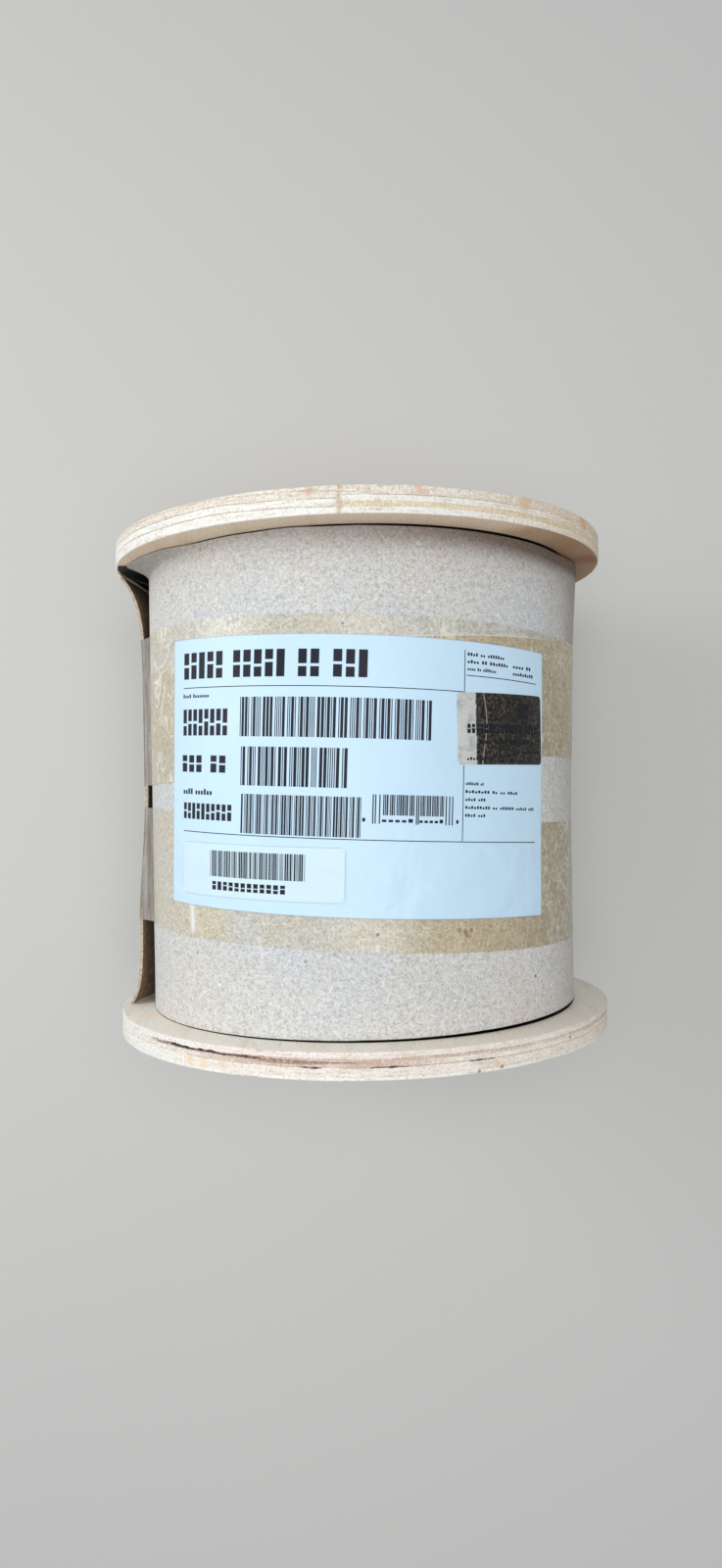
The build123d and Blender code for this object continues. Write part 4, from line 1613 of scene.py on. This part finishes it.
# The lamps' places and sizes, the camera's place, turn and lens, and half the floor's side, all
# but the turn and the lens in metres
SIDE_LAMP = ((-0.95, 0.25, 0.36), 0.6)
FRONT_LAMP = ((0.05, 0.0, 0.99), 0.7)
CAMERA_PLACE = (-0.0015, -0.0039, 0.463)
CAMERA_TURN = (0.0091, -0.0031, -0.0175)
CAMERA_LENS = 23.85
SENSOR_WIDTH = 36.0
HALF_FLOOR = 3.0
SKY_COLOUR = (0.97, 0.985, 1.0, 1.0)


def floor_finish(stage):
    """A plain matt floor with faint broad clouds."""
    finish = Finish("pale_floor", roughness=0.9, specular_ior_level=0.2)
    cloud = finish.noise(3, 2, 0.5)
    finish.colour(finish.coats(stage.floor, ((cloud, 0.3, 0.7, 0.1, (200, 200, 198)),)))
    return finish.material


class DRUM_OT_stage(Operator):
    """Sets the pale floor, the soft light and the camera over the drum"""

    bl_idname = "drum.stage"
    bl_label = "Floor, light and camera"

    def lamp(self, scene, name, power, place, size):
        """A round soft lamp that points at the drum's middle."""
        data = bpy.data.lights.new(name, "AREA")
        data.energy = power
        data.shape = "DISK"
        data.size = size
        lamp = bpy.data.objects.new(name, data)
        lamp.location = place
        lamp.rotation_euler = (-lamp.location).to_track_quat("-Z", "Y").to_euler()
        scene.collection.objects.link(lamp)

    def execute(self, context):
        scene = context.scene
        stage = scene.drum_stage
        run = np.linspace(-HALF_FLOOR, HALF_FLOOR, 9)
        x, y = np.meshgrid(run, run)
        skin = Skin()
        skin.add(np.stack([x, y, np.full_like(x, FLOOR_LEVEL)], axis=-1))
        floor = bpy.data.objects.new("floor", skin.mesh("floor", (floor_finish(stage),)))
        scene.collection.objects.link(floor)

        world = bpy.data.worlds.new("studio")
        world.use_nodes = True
        scene.world = world
        background = world.node_tree.nodes["Background"]
        background.inputs["Color"].default_value = SKY_COLOUR
        background.inputs["Strength"].default_value = stage.sky
        self.lamp(scene, "side_lamp", stage.side, *SIDE_LAMP)
        self.lamp(scene, "front_lamp", stage.front, *FRONT_LAMP)

        data = bpy.data.cameras.new("camera")
        data.sensor_width = SENSOR_WIDTH
        data.lens = CAMERA_LENS
        data.clip_start = 0.01
        camera = bpy.data.objects.new("camera", data)
        camera.location = CAMERA_PLACE
        camera.rotation_euler = CAMERA_TURN
        scene.collection.objects.link(camera)
        scene.camera = camera
        scene.view_settings.view_transform = "Standard"
        return {"FINISHED"}


class DRUM_PT_panel(Panel):
    """Lists the drum's pieces and their settings"""

    bl_idname = "DRUM_PT_panel"
    bl_label = "Cable drum"
    bl_space_type = "VIEW_3D"
    bl_region_type = "UI"
    bl_category = "Drum"

    def draw(self, context):
        for group, steps in SECTIONS:
            box = self.layout.box()
            settings = getattr(context.scene, group)
            for key in settings.bl_rna.properties.keys():
                if key not in ("rna_type", "name"):
                    box.prop(settings, key)
            for step in steps:
                box.operator(step.bl_idname)


SETTINGS = {
    "drum_plywood": PlywoodSettings,
    "drum_board": BoardSettings,
    "drum_tape": TapeSettings,
    "drum_label": LabelSettings,
    "drum_hardware": HardwareSettings,
    "drum_stage": StageSettings,
}
SECTIONS = (
    ("drum_plywood", (DRUM_OT_flanges,)),
    ("drum_board", (DRUM_OT_wrap,)),
    ("drum_tape", (DRUM_OT_tapes,)),
    ("drum_label", (DRUM_OT_label, DRUM_OT_sticker, DRUM_OT_seal)),
    ("drum_hardware", (DRUM_OT_core,)),
    ("drum_stage", (DRUM_OT_stage,)),
)
OPERATORS = tuple(step for group, steps in SECTIONS for step in steps)


def register():
    """Registers the settings, the operators and the panel, and gives each scene its settings."""
    for group in (*SETTINGS.values(), *OPERATORS, DRUM_PT_panel):
        bpy.utils.register_class(group)
    for name, group in SETTINGS.items():
        setattr(bpy.types.Scene, name, PointerProperty(type=group))


def unregister():
    """Takes back what register did, in the opposite order."""
    for name in SETTINGS:
        delattr(bpy.types.Scene, name)
    for group in (DRUM_PT_panel, *reversed(OPERATORS), *reversed(list(SETTINGS.values()))):
        bpy.utils.unregister_class(group)


def main():
    """Builds every piece and the stage."""
    register()
    bpy.ops.drum.flanges()
    bpy.ops.drum.wrap()
    bpy.ops.drum.tapes()
    bpy.ops.drum.label()
    bpy.ops.drum.sticker()
    bpy.ops.drum.seal()
    bpy.ops.drum.core()
    bpy.ops.drum.stage()


if __name__ == "__main__":
    main()
